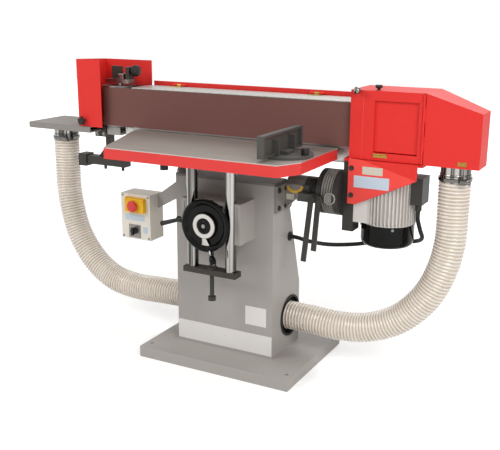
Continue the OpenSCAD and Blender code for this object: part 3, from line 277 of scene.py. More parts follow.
def clearHose(streakShare=0.5, roughness=0.20, dustRough=0.16):
    f = Finish("clearHose", Transmission_Weight=0.15, IOR=1.42, Coat_Weight=0.4, Coat_Roughness=0.12)
    dust = f.patches(scale=14.0, detail=4.0, low=0.36, high=0.72)
    paintedSheen = f.patches(scale=26.0, detail=3.0, low=0.45, high=0.75)
    wall = f.mix(dust, tint("dccbb9"), tint("cab6a1"))                     # thin wall, dust seen through it
    paintedCrestHighlight = f.mix(paintedSheen * streakShare, tint("f2ece2"), tint("fbf8f2"))     # painted highlight: pale colour on the rib crests, varied in patches
    ridge = f.add("ShaderNodeAttribute", {"attribute_name": "ridge"}, out="Fac")
    # painted highlight: the crests turn pale, the wall between them keeps the hose colour
    f.set("Base Color", f.mix(f.steps(ridge, low=0.35, high=0.85), wall, paintedCrestHighlight))
    f.set("Roughness", roughness + dustRough * dust)
    f.bump(f.noise(scale=60.0, detail=3.0), strength=0.10, distance=0.0006)
    return f.material


def castPatches(f):
    return f.patches(scale=26.0, detail=4.0, low=0.40, high=0.72)


def trunnionCasting(left, right, rim, roughness=0.46, patchRough=0.14):
    f = Finish("trunnionCasting")
    x = f.axes()[0]
    ends = (x < left + rim) + (x > right - rim)            # dark discs beside the grey ribs
    patch = castPatches(f)
    grey = f.mix(patch, tint("8d8983"), tint("716d67"))
    f.set("Base Color", f.mix(ends, grey, tint("2b2a28")))
    f.set("Roughness", roughness + patchRough * patch)
    f.bump(f.noise(scale=420.0, detail=3.0), strength=0.4, distance=0.0005)
    return f.material


def twoTone(name, split, left, right, stain=0.18, roughness=0.44, patchRough=0.12):
    f = Finish(name)
    patch = castPatches(f)
    tone = f.mix(f.axes()[0] > split, tint(left), tint(right))     # two colours that meet at x = split
    f.set("Base Color", f.mix(patch * stain, tone, tint("5e5a56")))
    f.set("Roughness", roughness + patchRough * patch)
    f.bump(f.noise(scale=500.0, detail=3.0), strength=0.3, distance=0.0004)
    return f.material


scaleLines = {"each": 7.0, "width": 0.22}       # lines for each radian, share of a division that is dark
scaleCentre = (0.232, 0.697)                    # x and z, also of the arc itself


def scaleStrip():                    # yellow strip with dark division lines
    f = Finish("yellowScale", roughness=0.45)
    x, y, z = f.axes()
    turn = x.mathsWith("ARCTAN2", z - scaleCentre[1], x - scaleCentre[0])
    step = f.add("ShaderNodeMath", {"operation": "FRACT"}, {0: turn * scaleLines["each"]})
    f.set("Base Color", f.mix(step < scaleLines["width"], tint("efb92c"), tint("26241f")))
    return f.material


# paint, metal and plastic take a name, a colour and a roughness first
casting = {"grain": 420.0, "depth": 0.0006, "dust": "6b6862", "worn": 0.25}
finishes = {
    "red": paint("redPaint", "e0302b", 0.48, dust="b8322d"),
    # painted light: a paler red for the lit door fold and the lit part of the lower panel
    "redLight": paint("redLight", "ef4a42", 0.38, dust="c23a34"),
    "stand": paint("greyPaint", "aba6a1", 0.42, dust="7d7873"),
    "bracket": paint("bracketGrey", "817c77", 0.45, dust="5e5a56"),
    "dark": paint("darkPaint", "35332f", 0.42, dust="5a5650", worn=0.25),
    "cream": paint("creamPowder", "eae4d9", 0.50, grain=1400.0, depth=0.0003, dust="c4bcae"),
    "castDark": paint("darkCasting", "4c4b48", 0.50, **casting),
    "castGrey": paint("greyCasting", "8f8a84", 0.50, **casting),
    "motor": paint("silverCasting", "dfdad5", 0.40, grain=700.0, depth=0.0004, dust="98928c", worn=0.2),
    "plateCream": paint("plateCream", "cfc8b8", 0.40, dust="a8a292"),
    "plateBlue": paint("plateBlue", "c3d0dc", 0.36, dust="a9b4be"),
    "bandPale": paint("bandPale", "e6e3df", 0.34, dust="b9b4af"),
    "chrome": chromedBar(),
    "darkChrome": metal("darkChrome", "6c6a67", 0.14, stretch=(1, 1, 0.2), scale=160.0, dark="3a3836",
                        stain=0.6),
    "steel": metal("machinedSteel", "8f8c88", 0.26, stretch=(0.2, 1, 1), scale=500.0),
    "plateSteel": metal("plateSteel", "86827e", 0.32, stretch=(0.1, 1, 1), scale=400.0),
    "wheelRing": metal("satinRing", "c2bfba", 0.42, stretch=(1, 0.1, 1), scale=500.0, dark="b5b1ab", stain=0.3),
    "brass": metal("brassSheet", "a98a45", 0.28, dark="7a6232"),
    "zinc": galvanised(),
    "belt": abrasiveCloth(),
    "blackGloss": plastic("blackGloss", "0e0e0d", 0.12, coat=0.05, worn=0.01, shine=0.10),
    "black": plastic("blackPlastic", "232220", 0.42),
    "rubber": plastic("blackRubber", "1d1c1b", 0.62, grain=700.0, worn=0.10),
    "yellow": plastic("yellowPlastic", "f2b824", 0.38),
    "stopRed": plastic("stopRed", "d8342e", 0.28, coat=0.3),
    "graphite": plastic("graphiteCloth", "2c2c2c", 0.70, grain=2200.0),
    "table": tableCasting(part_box("table_top")[1][2]),
    "hose": clearHose(),
    "trunnion": trunnionCasting(left=0.322, right=0.400, rim=0.019),
    "tiltBracket": twoTone("tiltBracket", split=0.262, left="817c77", right="33312e"),
    "yellowScale": scaleStrip(),
}
nodeFinish = {
    "stand": ["base_plate", "column", "control_arm", "lift_bracket"],
    "bracket": ["column_lid", "tilt_bearing"],
    "tiltBracket": ["tilt_bracket"],
    "rubber": ["hose_edgings", "motor_cable"],
    "zinc": ["dust_manifold", "belt_top_cover", "head_beam"],
    "cream": ["control_box", "control_cover"],
    "yellow": ["switch_base", "switch_flap"],
    "stopRed": ["stop_button"],
    "black": ["selector_knob", "table_knob", "miter_knob", "table_lock", "motor_fan", "tracking_knob"],
    "table": ["table_top"],
    "castGrey": ["end_table"],
    "trunnion": ["tilt_trunnion"],
    "wheelRing": ["wheel_ring"],
    "chrome": ["table_posts", "crank_link"],
    "dark": ["crossbar", "lift_nut", "motor_mount", "tilt_lever_front", "tilt_lever_rear", "end_carrier",
             "terminal_box", "lift_spindle"],
    "brass": ["hinge_leaves"],
    "castDark": ["miter_base", "miter_fence", "drive_drum"],
    "blackGloss": ["handwheel", "crank_grip", "fan_cover"],
    "steel": ["wheel_shaft", "platen", "idler_drum", "tension_carriage"],
    "graphite": ["graphite_pad"],
    "belt": ["sanding_belt"],
    "red": ["rear_cover", "drum_housing", "chute", "drum_door", "hatch", "motor_panel", "idler_guard"],
    "motor": ["motor_body"],
    "hose": ["dust_hose_left", "dust_hose_right"],
}


def coat(piece, finish):
    piece.data.materials.clear()
    piece.data.materials.append(finishes[finish])


for finish, names in nodeFinish.items():
    for name in names:
        coat(nodes[name], finish)
print("finishes:", len(finishes))


# camera and room

cameraView = {"place": (1.4096, -2.5621, 1.3020), "turn": 28.23, "down": 15.25, "roll": 0.25, "lens": 58.25,
              "sensor": 36.0, "reach": 60.0}
room = {"floor": 9.0, "colour": (0.86, 0.86, 0.85, 1.0), "roughness": 0.9, "glow": (0.34, 1.0),
        "reach": (1.2, 4.2), "world": 0.38, "aim": (0, 0, 0.7),
        "lamps": [{"place": (-2.6, -3.2, 3.4), "size": 2.6, "power": 88.0},
                  {"place": (3.2, -2.2, 2.8), "size": 2.2, "power": 92.0},
                  {"place": (0.4, 3.0, 3.6), "size": 3.0, "power": 66.0}]}
white = (1.0, 1.0, 1.0, 1.0)
black = (0.0, 0.0, 0.0, 1.0)


def linked(name, data):
    thing = bpy.data.objects.new(name, data)
    bpy.context.scene.collection.objects.link(thing)
    return thing


def buildCamera():
    lens = bpy.data.cameras.new("camera")
    lens.sensor_width = cameraView["sensor"]
    lens.sensor_fit = "HORIZONTAL"
    lens.lens = cameraView["lens"]
    lens.clip_end = cameraView["reach"]
    camera = linked("camera", lens)
    camera.matrix_world = (Matrix.Translation(cameraView["place"])
                           @ Matrix.Rotation(math.radians(cameraView["turn"]), 4, "Z")
                           @ Matrix.Rotation(math.radians(90 - cameraView["down"]), 4, "X")
                           @ Matrix.Rotation(math.radians(cameraView["roll"]), 4, "Z"))
    bpy.context.scene.camera = camera


def buildFloor():
    half = room["floor"]
    mesh = bpy.data.meshes.new("floor")
    corners = [(-half, -half, 0), (half, -half, 0), (half, half, 0), (-half, half, 0)]
    mesh.from_pydata(corners, [], [(0, 1, 2, 3)])
    f = Finish("paleFloor", roughness=room["roughness"])
    f.set("Base Color", room["colour"])
    x, y, z = f.axes()
    far = f.steps(f.add("ShaderNodeMath", {"operation": "SQRT"}, {0: x * x + y * y}), *room["reach"])
    near, away = [(v, v, v, 1.0) for v in room["glow"]]
    f.set("Emission Color", f.mix(f.seen(), black, f.mix(far, near, away)))
    f.set("Emission Strength", 1.0)
    mesh.materials.append(f.material)
    linked("floor", mesh)


def buildLamps():
    for i, lamp in enumerate(room["lamps"]):
        light = bpy.data.lights.new("softbox%d" % i, "AREA")
        light.shape = "DISK"
        light.size = lamp["size"]
        light.energy = lamp["power"]
        box = linked("softbox%d" % i, light)
        box.location = lamp["place"]
        box.rotation_euler = (Vector(room["aim"]) - Vector(lamp["place"])).to_track_quat("-Z", "Y").to_euler()


def buildWorld():                    # plain light all round, white where it is seen
    world = bpy.data.worlds.new("room")
    bpy.context.scene.world = world
    world.use_nodes = True
    w = NodeTree(world.node_tree)
    dim = w.tree.nodes["Background"]
    w.feed(dim.inputs["Color"], white)
    w.feed(dim.inputs["Strength"], room["world"])
    bright = w.add("ShaderNodeBackground", None, {"Color": white})
    pick = w.add("ShaderNodeMixShader", None, {0: w.seen(), 1: Flow(w, dim.outputs[0]), 2: bright})
    w.feed(w.tree.nodes["World Output"].inputs["Surface"], pick)


bpy.context.scene.view_settings.view_transform = "Standard"
buildCamera()
buildFloor()
buildLamps()
buildWorld()
print("room and camera set")


# geometry node helper

class Grow(NodeTree):                # one geometry node tree
    def __init__(self, name, inputs):
        super().__init__(bpy.data.node_groups.new(name, "GeometryNodeTree"))
        self.ids = {}
        sockets = self.tree.interface
        sockets.new_socket("Geometry", in_out="INPUT", socket_type="NodeSocketGeometry")
        for key, kind in inputs.items():
            given = sockets.new_socket(key, in_out="INPUT", socket_type="NodeSocket" + kind)
            self.ids[key] = given.identifier
        sockets.new_socket("Geometry", in_out="OUTPUT", socket_type="NodeSocketGeometry")
        self.given = self.tree.nodes.new("NodeGroupInput")
        self.end = self.tree.nodes.new("NodeGroupOutput")

    def value(self, name):
        return Flow(self, self.given.outputs[name])

    def close(self, geometry):
        real = self.add("GeometryNodeRealizeInstances", None, {"Geometry": geometry})
        done = self.add("GeometryNodeSetMaterial", None, {"Geometry": real, "Material": self.value("Finish")})
        self.feed(self.end.inputs[0], done)

    def make(self, name, source, **values):      # plain mesh object from the tree, grown on source
        bpy.context.scene.collection.objects.link(source)
        modifier = source.modifiers.new("grow", "NODES")
        modifier.node_group = self.tree
        for key, value in values.items():
            modifier[self.ids[key]] = value
        view = bpy.context.evaluated_depsgraph_get()
        mesh = bpy.data.meshes.new_from_object(source.evaluated_get(view), depsgraph=view)
        source.modifiers.remove(modifier)
        bpy.data.objects.remove(source)
        mesh.name = name
        return linked(name, mesh)


# ways of making a small piece

front, up, left, right = (0, -1, 0), (0, 0, 1), (-1, 0, 0), (1, 0, 0)
sharpTurn = math.radians(35)


def meshFrom(bm, name, smooth=False):
    for face in bm.faces:
        face.smooth = smooth
    mesh = bpy.data.meshes.new(name)
    bm.to_mesh(mesh)
    bm.free()
    return mesh


def put(name, mesh, finish, body):
    piece = linked(name, mesh)
    coat(piece, finish)
    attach(piece, body)
    return piece


def shifted(place, by):
    return tuple(a + b for a, b in zip(place, by))


def turned(profile, at, way, sides):             # profile of (radius, height) turned about way
    bm = bmesh.new()
    rings = []
    for radius, height in profile:
        turns = [2 * math.pi * k / sides for k in range(sides if radius > 0 else 1)]
        rings.append([bm.verts.new((radius * math.cos(t), radius * math.sin(t), height)) for t in turns])
    for low, high in zip(rings, rings[1:]):
        for k in range(sides):
            j = (k + 1) % sides
            corners = [low[k % len(low)], low[j % len(low)], high[j % len(high)], high[k % len(high)]]
            corners = list(dict.fromkeys(corners))
            if len(corners) > 2:
                bm.faces.new(corners)
    bmesh.ops.recalc_face_normals(bm, faces=bm.faces)
    aim = Vector(way).to_track_quat("Z", "Y").to_matrix().to_4x4()
    bmesh.ops.transform(bm, matrix=Matrix.Translation(at) @ aim, verts=bm.verts)
    mesh = meshFrom(bm, "turned", smooth=True)
    mesh.set_sharp_from_angle(angle=sharpTurn)
    return mesh


def slab(low, high, edge, cuts=2):   # box with rounded edges
    bm = bmesh.new()
    bmesh.ops.create_cube(bm, size=1.0)
    size = [h - l for l, h in zip(low, high)]
    middle = [(h + l) / 2 for l, h in zip(low, high)]
    bmesh.ops.transform(bm, matrix=Matrix.Translation(middle) @ Matrix.Diagonal((*size, 1.0)), verts=bm.verts)
    widest = 0.45 * min(size)
    bmesh.ops.bevel(bm, geom=bm.edges, offset=min(edge, widest), segments=cuts, affect="EDGES", profile=0.5)
    return meshFrom(bm, "slab")


def plate(points, face, thick=0.0008):           # flat outline of (x, z) points, its face at y = face
    bm = bmesh.new()
    outline = bm.faces.new([bm.verts.new((x, face, z)) for x, z in points])
    sides = bmesh.ops.extrude_face_region(bm, geom=[outline])["geom"]
    bmesh.ops.translate(bm, vec=(0, thick, 0), verts=[v for v in sides if isinstance(v, bmesh.types.BMVert)])
    bmesh.ops.recalc_face_normals(bm, faces=bm.faces)
    return meshFrom(bm, "plate")


def joined(name, meshes, finish, body):
    bm = bmesh.new()
    for mesh in meshes:
        bm.from_mesh(mesh)
        bpy.data.meshes.remove(mesh)
    mesh = bpy.data.meshes.new(name)
    bm.to_mesh(mesh)
    bm.free()
    return put(name, mesh, finish, body)


# hoses and cable: the routes of part.scad, in metres

hoses = {
    "leftHose": {"node": "dust_hose_left", "ribs": 92,
                 "lower": (-0.30, 0.042, 0.20), "upper": (-0.898, 0.0825, 0.62),
                 "route": [(-0.898, 0.0825, 0.7476), (-0.898, 0.0825, 0.6396), (-0.892, 0.076, 0.540),
                           (-0.870, 0.069, 0.440), (-0.830, 0.062, 0.340), (-0.752, 0.055, 0.242),
                           (-0.650, 0.048, 0.180), (-0.530, 0.043, 0.160), (-0.410, 0.042, 0.163),
                           (-0.308, 0.042, 0.166), (-0.200, 0.042, 0.166)]},
    "rightHose": {"node": "dust_hose_right", "ribs": 84,
                  "lower": (0.28, 0.042, 0.20), "upper": (0.768, 0.065, 0.62),
                  "route": [(0.768, 0.065, 0.7416), (0.768, 0.065, 0.6336), (0.766, 0.063, 0.530),
                            (0.746, 0.060, 0.430), (0.698, 0.056, 0.325), (0.612, 0.052, 0.232),
                            (0.502, 0.047, 0.178), (0.390, 0.043, 0.162), (0.272, 0.042, 0.166),
                            (0.164, 0.042, 0.166)]},
}
hoseSize = {"radius": 0.0538, "rib": 0.0036, "sides": 36, "rim": (0.022, 0, 0)}
cuff = {"radius": 0.0560, "bore": 0.0530, "width": 0.018, "sides": 64}
cable = {"radius": 0.0075, "rings": 30, "sides": 14,
         "lower": (0.24, 0.035, 0.47), "upper": (0.652, 0.07, 0.57),
         "route": [(0.65059, 0.0625, 0.6266), (0.65059, 0.0625, 0.5966), (0.656, 0.080, 0.555),
                   (0.650, 0.130, 0.512), (0.610, 0.190, 0.480), (0.540, 0.214, 0.462),
                   (0.460, 0.190, 0.455), (0.390, 0.130, 0.452), (0.320, 0.075, 0.456),
                   (0.260, 0.040, 0.468), (0.215, 0.029, 0.479), (0.172, 0.029, 0.480)]}
ribShape = {"rings": 8, "crest": 0.8}            # rings for each rib, power that rounds the crest


def ribbedTubeTree():
    g = Grow("ribbedTube", {"Ribs": "Int", "Radius": "Float", "Rib": "Float", "Sides": "Int",
                            "Finish": "Material"})
    rings = g.value("Ribs") * ribShape["rings"] + 1
    path = g.add("GeometryNodeResampleCurve", None, {"Curve": g.value("Geometry"), "Count": rings})
    along = g.add("GeometryNodeSplineParameter", out="Factor")
    wave = g.add("ShaderNodeMath", {"operation": "COSINE"}, {0: along * g.value("Ribs") * (2 * math.pi)})
    ridge = wave.mathsWith("POWER", 0.5 - 0.5 * wave, ribShape["crest"])
    path = g.add("GeometryNodeStoreNamedAttribute", {"data_type": "FLOAT", "domain": "POINT"},
                 {"Geometry": path, "Name": "ridge", "Value": ridge})
    ring = g.add("GeometryNodeCurvePrimitiveCircle", None, {"Resolution": g.value("Sides"), "Radius": 1.0})
    wall = g.add("GeometryNodeCurveToMesh", None, {"Curve": path, "Profile Curve": ring,
                                                   "Scale": g.value("Radius") - g.value("Rib") * (1 - ridge)})
    g.close(g.add("GeometryNodeSetShadeSmooth", None, {"Geometry": wall}))
    return g


def routePoints(points, steps=10):   # smooth curve through the route's points
    p = [Vector(v) for v in points]
    out = []
    for i in range(len(p) - 1):
        a, b, c, d = p[max(0, i - 1)], p[i], p[i + 1], p[min(len(p) - 1, i + 2)]
        for k in range(steps):
            u = k / steps
            out.append(0.5 * (2 * b + (c - a) * u + (2 * a - 5 * b + 4 * c - d) * u * u
                              + (3 * b - a - 3 * c + d) * u ** 3))
    return out + [p[-1]]


def routeCurve(name, points):
    curve = bpy.data.curves.new(name, "CURVE")
    curve.dimensions = "3D"
    spline = curve.splines.new("POLY")
    spline.points.add(len(points) - 1)
    for point, at in zip(spline.points, points):
        point.co = (*at, 1.0)
    return bpy.data.objects.new(name, curve)


def pathLength(points):
    return sum((b - a).length for a, b in zip(points, points[1:]))


def buildHose(tube, name, h):
    way = routePoints(h["route"])
    piece = tube.make(name, routeCurve(name + "Path", way), Ribs=h["ribs"], Radius=hoseSize["radius"],
                      Rib=hoseSize["rib"], Sides=hoseSize["sides"], Finish=finishes["hose"])
    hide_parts(h["node"])
    bore, ring, width = cuff["bore"], cuff["radius"], cuff["width"]
    sleeve = [(bore, 0), (ring, 0), (ring, width), (bore, width), (bore, 0)]
    end = put(name + "Cuff", turned(sleeve, way[-1], way[-2] - way[-1], cuff["sides"]),
              "black", "stand")
    rim = way[0] + Vector(hoseSize["rim"])       # towards the collar wall
    pathLength(way)
    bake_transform(piece)


def buildCable(tube):
    way = routePoints(cable["route"])
    piece = tube.make("motorLead", routeCurve("motorLeadPath", way), Ribs=cable["rings"],
                      Radius=cable["radius"], Rib=0.0, Sides=cable["sides"], Finish=finishes["rubber"])
    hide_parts("motor_cable")
    pathLength(way)
    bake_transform(piece)


tubes = ribbedTubeTree()
for name, hose in hoses.items():
    buildHose(tubes, name, hose)
buildCable(tubes)
print("hoses and motor lead laid")


# bolts, screws and rivets: size is head radius, head height, sides and washer radius

boltShape = {"washerSides": 20, "washerHeight": 0.4, "capSides": 16, "capRadius": 0.55, "capHeight": 0.16,
             "capAt": 1.05}
rivetRow = [0.812 + 0.0285 * i for i in range(8)]
fanScrews = {"centre": (0.5386, 0.0825), "radius": 0.0932, "z": 0.562, "turns": (0.5, 2.07, 3.64, 5.21)}
boltSets = {
    "hatchHingeScrews": {"body": "drum_door", "finish": "brass", "slot": "brass", "way": front,
                         "size": (0.0026, 0.0012, 12, 0.0030),
                         "at": [(x, -0.0063, 0.8125) for x in (0.512, 0.528, 0.544)]},
    "chuteLatchScrews": {"body": "head", "finish": "brass", "slot": "brass", "way": front,
                         "size": (0.0017, 0.0008, 12, 0.0019),
                         "at": [(x, -0.0066, z) for x in (0.7915, 0.8155) for z in (0.807, 0.817)]},
    "pianoHingeRivets": {"body": "head", "finish": "red", "slot": "red", "way": front,
                         "size": (0.0022, 0.0007, 14, 0.0024), "at": [(0.682, -0.0050, z) for z in rivetRow]},
    "doorHingeRivets": {"body": "drum_door", "finish": "red", "slot": "red", "way": front,
                        "size": (0.0022, 0.0007, 14, 0.0024), "at": [(0.659, -0.0049, z) for z in rivetRow]},
    "panelBolts": {"body": "head", "finish": "dark", "slot": "dark_metal", "way": front,
                   "size": (0.0068, 0.006, 6, 0.0092),
                   "at": [(0.435, -0.0205, 0.768), (0.436, -0.0205, 0.674)]},
    "fanCoverScrews": {"body": "head", "finish": "steel", "slot": "steel", "around": fanScrews,
                       "size": (0.0042, 0.003, 16, 0.0050)},
    "controlCoverScrews": {"body": "stand", "finish": "steel", "slot": "steel", "way": front,
                           "size": (0.0040, 0.0016, 20, 0.0046),
                           "at": [(x, -0.1200, z) for x in (-0.459, -0.341) for z in (0.432, 0.594)]},
    "controlArmBolts": {"body": "stand", "finish": "steel", "slot": "steel", "way": left,
                        "size": (0.0060, 0.005, 6, 0.0085),
                        "at": [(-0.224, y, z) for y in (-0.052, -0.034) for z in (0.620, 0.658)]},
    "guardFootBolts": {"body": "head", "finish": "steel", "slot": "steel", "way": up,
                       "size": (0.0055, 0.004, 6, 0.0080),
                       "at": [(-0.718, y, 0.8295) for y in (0.01, 0.07, 0.14)]},
    "carrierBolts": {"body": "head", "finish": "steel", "slot": "steel", "way": front,
                     "size": (0.0055, 0.004, 6, 0.0080),
                     "at": [(x, 0.0445, 0.791) for x in (-0.699, -0.667)]},
    "tiltBracketBolts": {"body": "stand", "finish": "dark", "slot": "dark_metal", "way": right,
                         "size": (0.0080, 0.006, 6, 0.0110),
                         "at": [(0.196, y, z) for y in (-0.086, -0.034) for z in (0.612, 0.676)]},
    "tiltBearingBolts": {"body": "stand", "finish": "dark", "slot": "dark_metal", "way": left,
                         "size": (0.0070, 0.006, 6, 0.0100),
                         "at": [(-0.232, -0.004, z) for z in (0.612, 0.690)]},
    "liftBracketBolts": {"body": "stand", "finish": "steel", "slot": "steel", "way": front,
                         "size": (0.0070, 0.006, 6, 0.0100),
                         "at": [(x, -0.120, z) for x in (-0.048, 0.020) for z in (0.530, 0.604)]},
}


def boltTree():
    g = Grow("boltHeads", {"Radius": "Float", "Height": "Float", "Sides": "Int", "Washer": "Float",
                           "Finish": "Material"})
    radius, height = g.value("Radius"), g.value("Height")

    def disc(sides, wide, deep, lift=None):
        mesh = g.add("GeometryNodeMeshCylinder", None, {"Vertices": sides, "Radius": wide, "Depth": deep})
        if lift is None:
            return mesh
        rise = g.add("ShaderNodeCombineXYZ", None, {2: lift})
        return g.add("GeometryNodeTransform", None, {"Geometry": mesh, "Translation": rise})

    head = disc(g.value("Sides"), radius, height, height * 0.5)
    ring = disc(boltShape["washerSides"], g.value("Washer"), height * boltShape["washerHeight"])
    cap = disc(boltShape["capSides"], radius * boltShape["capRadius"], height * boltShape["capHeight"],
               height * boltShape["capAt"])
    whole = g.tree.nodes.new("GeometryNodeJoinGeometry")
    for part in (cap, ring, head):
        g.feed(whole.inputs[0], part)
    way = g.add("GeometryNodeInputNamedAttribute", {"data_type": "FLOAT_VECTOR"}, {"Name": "way"})
    turn = g.add("FunctionNodeAlignRotationToVector", {"axis": "Z"}, {"Vector": way})
    g.close(g.add("GeometryNodeInstanceOnPoints", None,
                  {"Points": g.value("Geometry"), "Instance": Flow(g, whole.outputs[0]), "Rotation": turn}))
    return g


def roundRow(row):                   # points and ways of screws round an upright cylinder
    x, y = row["centre"]
    ways = [(math.sin(t), -math.cos(t), 0) for t in row["turns"]]
    return [(x + row["radius"] * w[0], y + row["radius"] * w[1], row["z"]) for w in ways], ways


def boltHeads(tree, name, row):
    points, ways = roundRow(row["around"]) if "around" in row else (row["at"], [row["way"]] * len(row["at"]))
    mesh = bpy.data.meshes.new(name + "Points")
    mesh.from_pydata(points, [], [])
    for item, way in zip(mesh.attributes.new("way", "FLOAT_VECTOR", "POINT").data, ways):
        item.vector = way
    radius, height, sides, washer = row["size"]
    piece = tree.make(name, bpy.data.objects.new(name + "Points", mesh), Radius=radius, Height=height,
                      Sides=sides, Washer=washer, Finish=finishes[row["finish"]])
    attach(piece, row["body"])


bolts = boltTree()
for name, row in boltSets.items():
    boltHeads(bolts, name, row)
print("bolts:", len(boltSets), "sets")


# bare plates: box is x and z of two corners, on a surface that faces the front at y = on

onColumn = {"on": -0.1080, "thick": 0.0007, "edge": 0.0003, "finish": "bandPale", "body": "stand",
            "slot": "off_white"}
onPanel = {"on": -0.0205, "thick": 0.0008, "edge": 0.0004, "body": "head", "slot": "galvanised"}
onControl = {"on": -0.1200, "thick": 0.0007, "edge": 0.0004, "finish": "plateBlue", "body": "stand",
             "slot": "off_white"}
barePlates = {
    "columnBand": {"box": (-0.2195, 0.052, 0.1835, 0.128), **onColumn},
    "columnPlate": {"box": (0.074, 0.162, 0.160, 0.234), **onColumn},
    # painted highlight: a paler red strip standing proud along the door's left fold
    "doorFold": {"box": (0.462, 0.800, 0.4642, 1.029), "on": -0.0049, "thick": 0.0007, "edge": 0.0004,
                 "sunk": 0.0004, "finish": "redLight", "body": "drum_door", "slot": "red"},
    "panelPlateUpper": {"box": (0.474, 0.750, 0.546, 0.777), "finish": "plateCream", **onPanel},
    "panelPlateLower": {"box": (0.445, 0.703, 0.570, 0.744), "finish": "plateBlue", **onPanel},
    "selectorPlate": {"box": (-0.433, 0.430, -0.378, 0.482), "on": -0.1200, "thick": 0.0016, "edge": 0.0010,
                      "finish": "plateSteel", "body": "stand", "slot": "steel"},
    "controlPlateWide": {"box": (-0.449, 0.498, -0.358, 0.521), **onControl},
    "controlPlateSmall": {"box": (-0.367, 0.451, -0.346, 0.476), **onControl},
    "scalePlate": {"box": (0.2005, 0.636, 0.231, 0.656), "on": -0.038, "thick": 0.0007, "edge": 0.0003,
                   "finish": "plateCream", "body": "stand", "slot": "off_white"},
}
plateSunk = 0.0002                   # how far a plate goes into its surface

for name, p in barePlates.items():
    x0, z0, x1, z1 = p["box"]
    put(name, slab((x0, p["on"] - p["thick"], z0), (x1, p["on"] + p.get("sunk", plateSunk), z1), p["edge"]),
        p["finish"], p["body"])
print("bare plates:", len(barePlates))


# turned pieces: profile of (radius, height) along way

ballRadius = 0.0106
ballTurns = [math.radians(degrees) for degrees in range(-75, 90, 15)]
turnedPieces = {
    "doorKnob": {"at": (0.446, -0.0049, 1.030), "way": front, "sides": 32,
                 "finish": "chrome", "body": "drum_door", "slot": "chrome",
                 "profile": [(0, 0), (0.004, 0), (0.004, 0.006), (0.008, 0.009), (0.0115, 0.014),
                             (0.0125, 0.020), (0.0105, 0.026), (0.006, 0.0295), (0, 0.0302)]},
    "housingKnob": {"at": (0.505, 0.022, 1.030), "way": up, "sides": 28,
                    "finish": "black", "body": "head", "slot": "black_plastic",
                    "profile": [(0, 0), (0.006, 0), (0.006, 0.006), (0.011, 0.008), (0.013, 0.012),
                                (0.011, 0.017), (0, 0.018)]},
    "wheelHubCap": {"at": (-0.010, -0.257, 0.560), "way": front, "sides": 56,
                    "finish": "blackGloss", "body": "handwheel", "slot": "black_plastic",
                    "profile": [(0.0072, -0.0010), (0.0072, 0.0014), (0.0100, 0.0022), (0.0115, 0.0008),
                                (0.0160, 0.0020), (0.0180, 0.0006), (0.0230, 0.0018), (0.0262, 0.0010),
                                (0.0270, -0.0010)]},
    "wheelHubPin": {"at": (-0.010, -0.261, 0.560), "way": front, "sides": 24,
                    "finish": "chrome", "body": "handwheel", "slot": "chrome",
                    "profile": [(0, 0), (0.0046, 0), (0.0046, 0.0010), (0.0034, 0.0018), (0, 0.0020)]},
    "crankBall": {"at": (0.004, -0.246, 0.480), "way": front, "sides": 28,
                  "finish": "blackGloss", "body": "handwheel", "slot": "black_plastic",
                  "profile": [(0, -ballRadius), *[(ballRadius * math.cos(t), ballRadius * math.sin(t))
                                                  for t in ballTurns], (0, ballRadius)]},
    "plugRing": {"at": (0.375, -0.062, 0.662), "way": front, "sides": 48,
                 "finish": "steel", "body": "head", "slot": "steel",
                 "profile": [(0.0165, -0.001), (0.0165, 0.0020), (0.0180, 0.0028), (0.0205, 0.0028),
                             (0.0216, 0.0014), (0.0216, -0.001)]},
    "plugFace": {"at": (0.375, -0.0615, 0.662), "way": front, "sides": 40,
                 "finish": "dark", "body": "head", "slot": "dark_metal",
                 "profile": [(0, 0.0004), (0.0070, 0.0004), (0.0078, -0.0012), (0.0165, -0.0012),
                             (0.0165, -0.004)]},
}

for name, t in turnedPieces.items():
    put(name, turned(t["profile"], t["at"], t["way"], t["sides"]), t["finish"], t["body"])
print("turned pieces:", len(turnedPieces))


# dust collars: bright sleeve with a bead, and the hose clamp below it

collars = {"leftCollar": (-0.898, 0.0825, 0.748), "rightCollar": (0.768, 0.065, 0.742)}
collarSides = 64
collarShape = {"sleeve": [(0.0503, 0), (0.0503, 0.051), (0.0516, 0.052), (0.0520, 0.0538), (0.0516, 0.055),
                          (0.0502, 0.055)],
               "bead": [(0.0503, 0.020), (0.0517, 0.022), (0.0522, 0.024), (0.0517, 0.026), (0.0503, 0.028)]}
clamp = {"lift": (0, 0, 0.003),
         "band": [(0.0508, 0), (0.0548, 0), (0.0557, 0.001), (0.0557, 0.011), (0.0548, 0.012),
                  (0.0508, 0.012)],
         "lug": ((0.030, -0.0648, -0.001), (0.052, -0.0388, 0.013)), "lugEdge": 0.002,
         "screw": [(0, 0), (0.0042, 0), (0.0042, 0.026), (0.0062, 0.026), (0.0062, 0.031), (0, 0.031)],
         "screwAt": (0.034, -0.0578, 0.006), "screwWay": (1, -0.25, 0), "screwSides": 20}


def buildCollar(name, foot):
    joined(name, [turned(profile, foot, up, collarSides) for profile in collarShape.values()],
           "chrome", "head")
    place = shifted(foot, clamp["lift"])
    joined(name + "Clamp",
           [turned(clamp["band"], place, up, collarSides),
            slab(*[shifted(corner, place) for corner in clamp["lug"]], clamp["lugEdge"]),
            turned(clamp["screw"], shifted(place, clamp["screwAt"]), clamp["screwWay"], clamp["screwSides"])],
           "darkChrome", "head")


for name, foot in collars.items():
    buildCollar(name, foot)
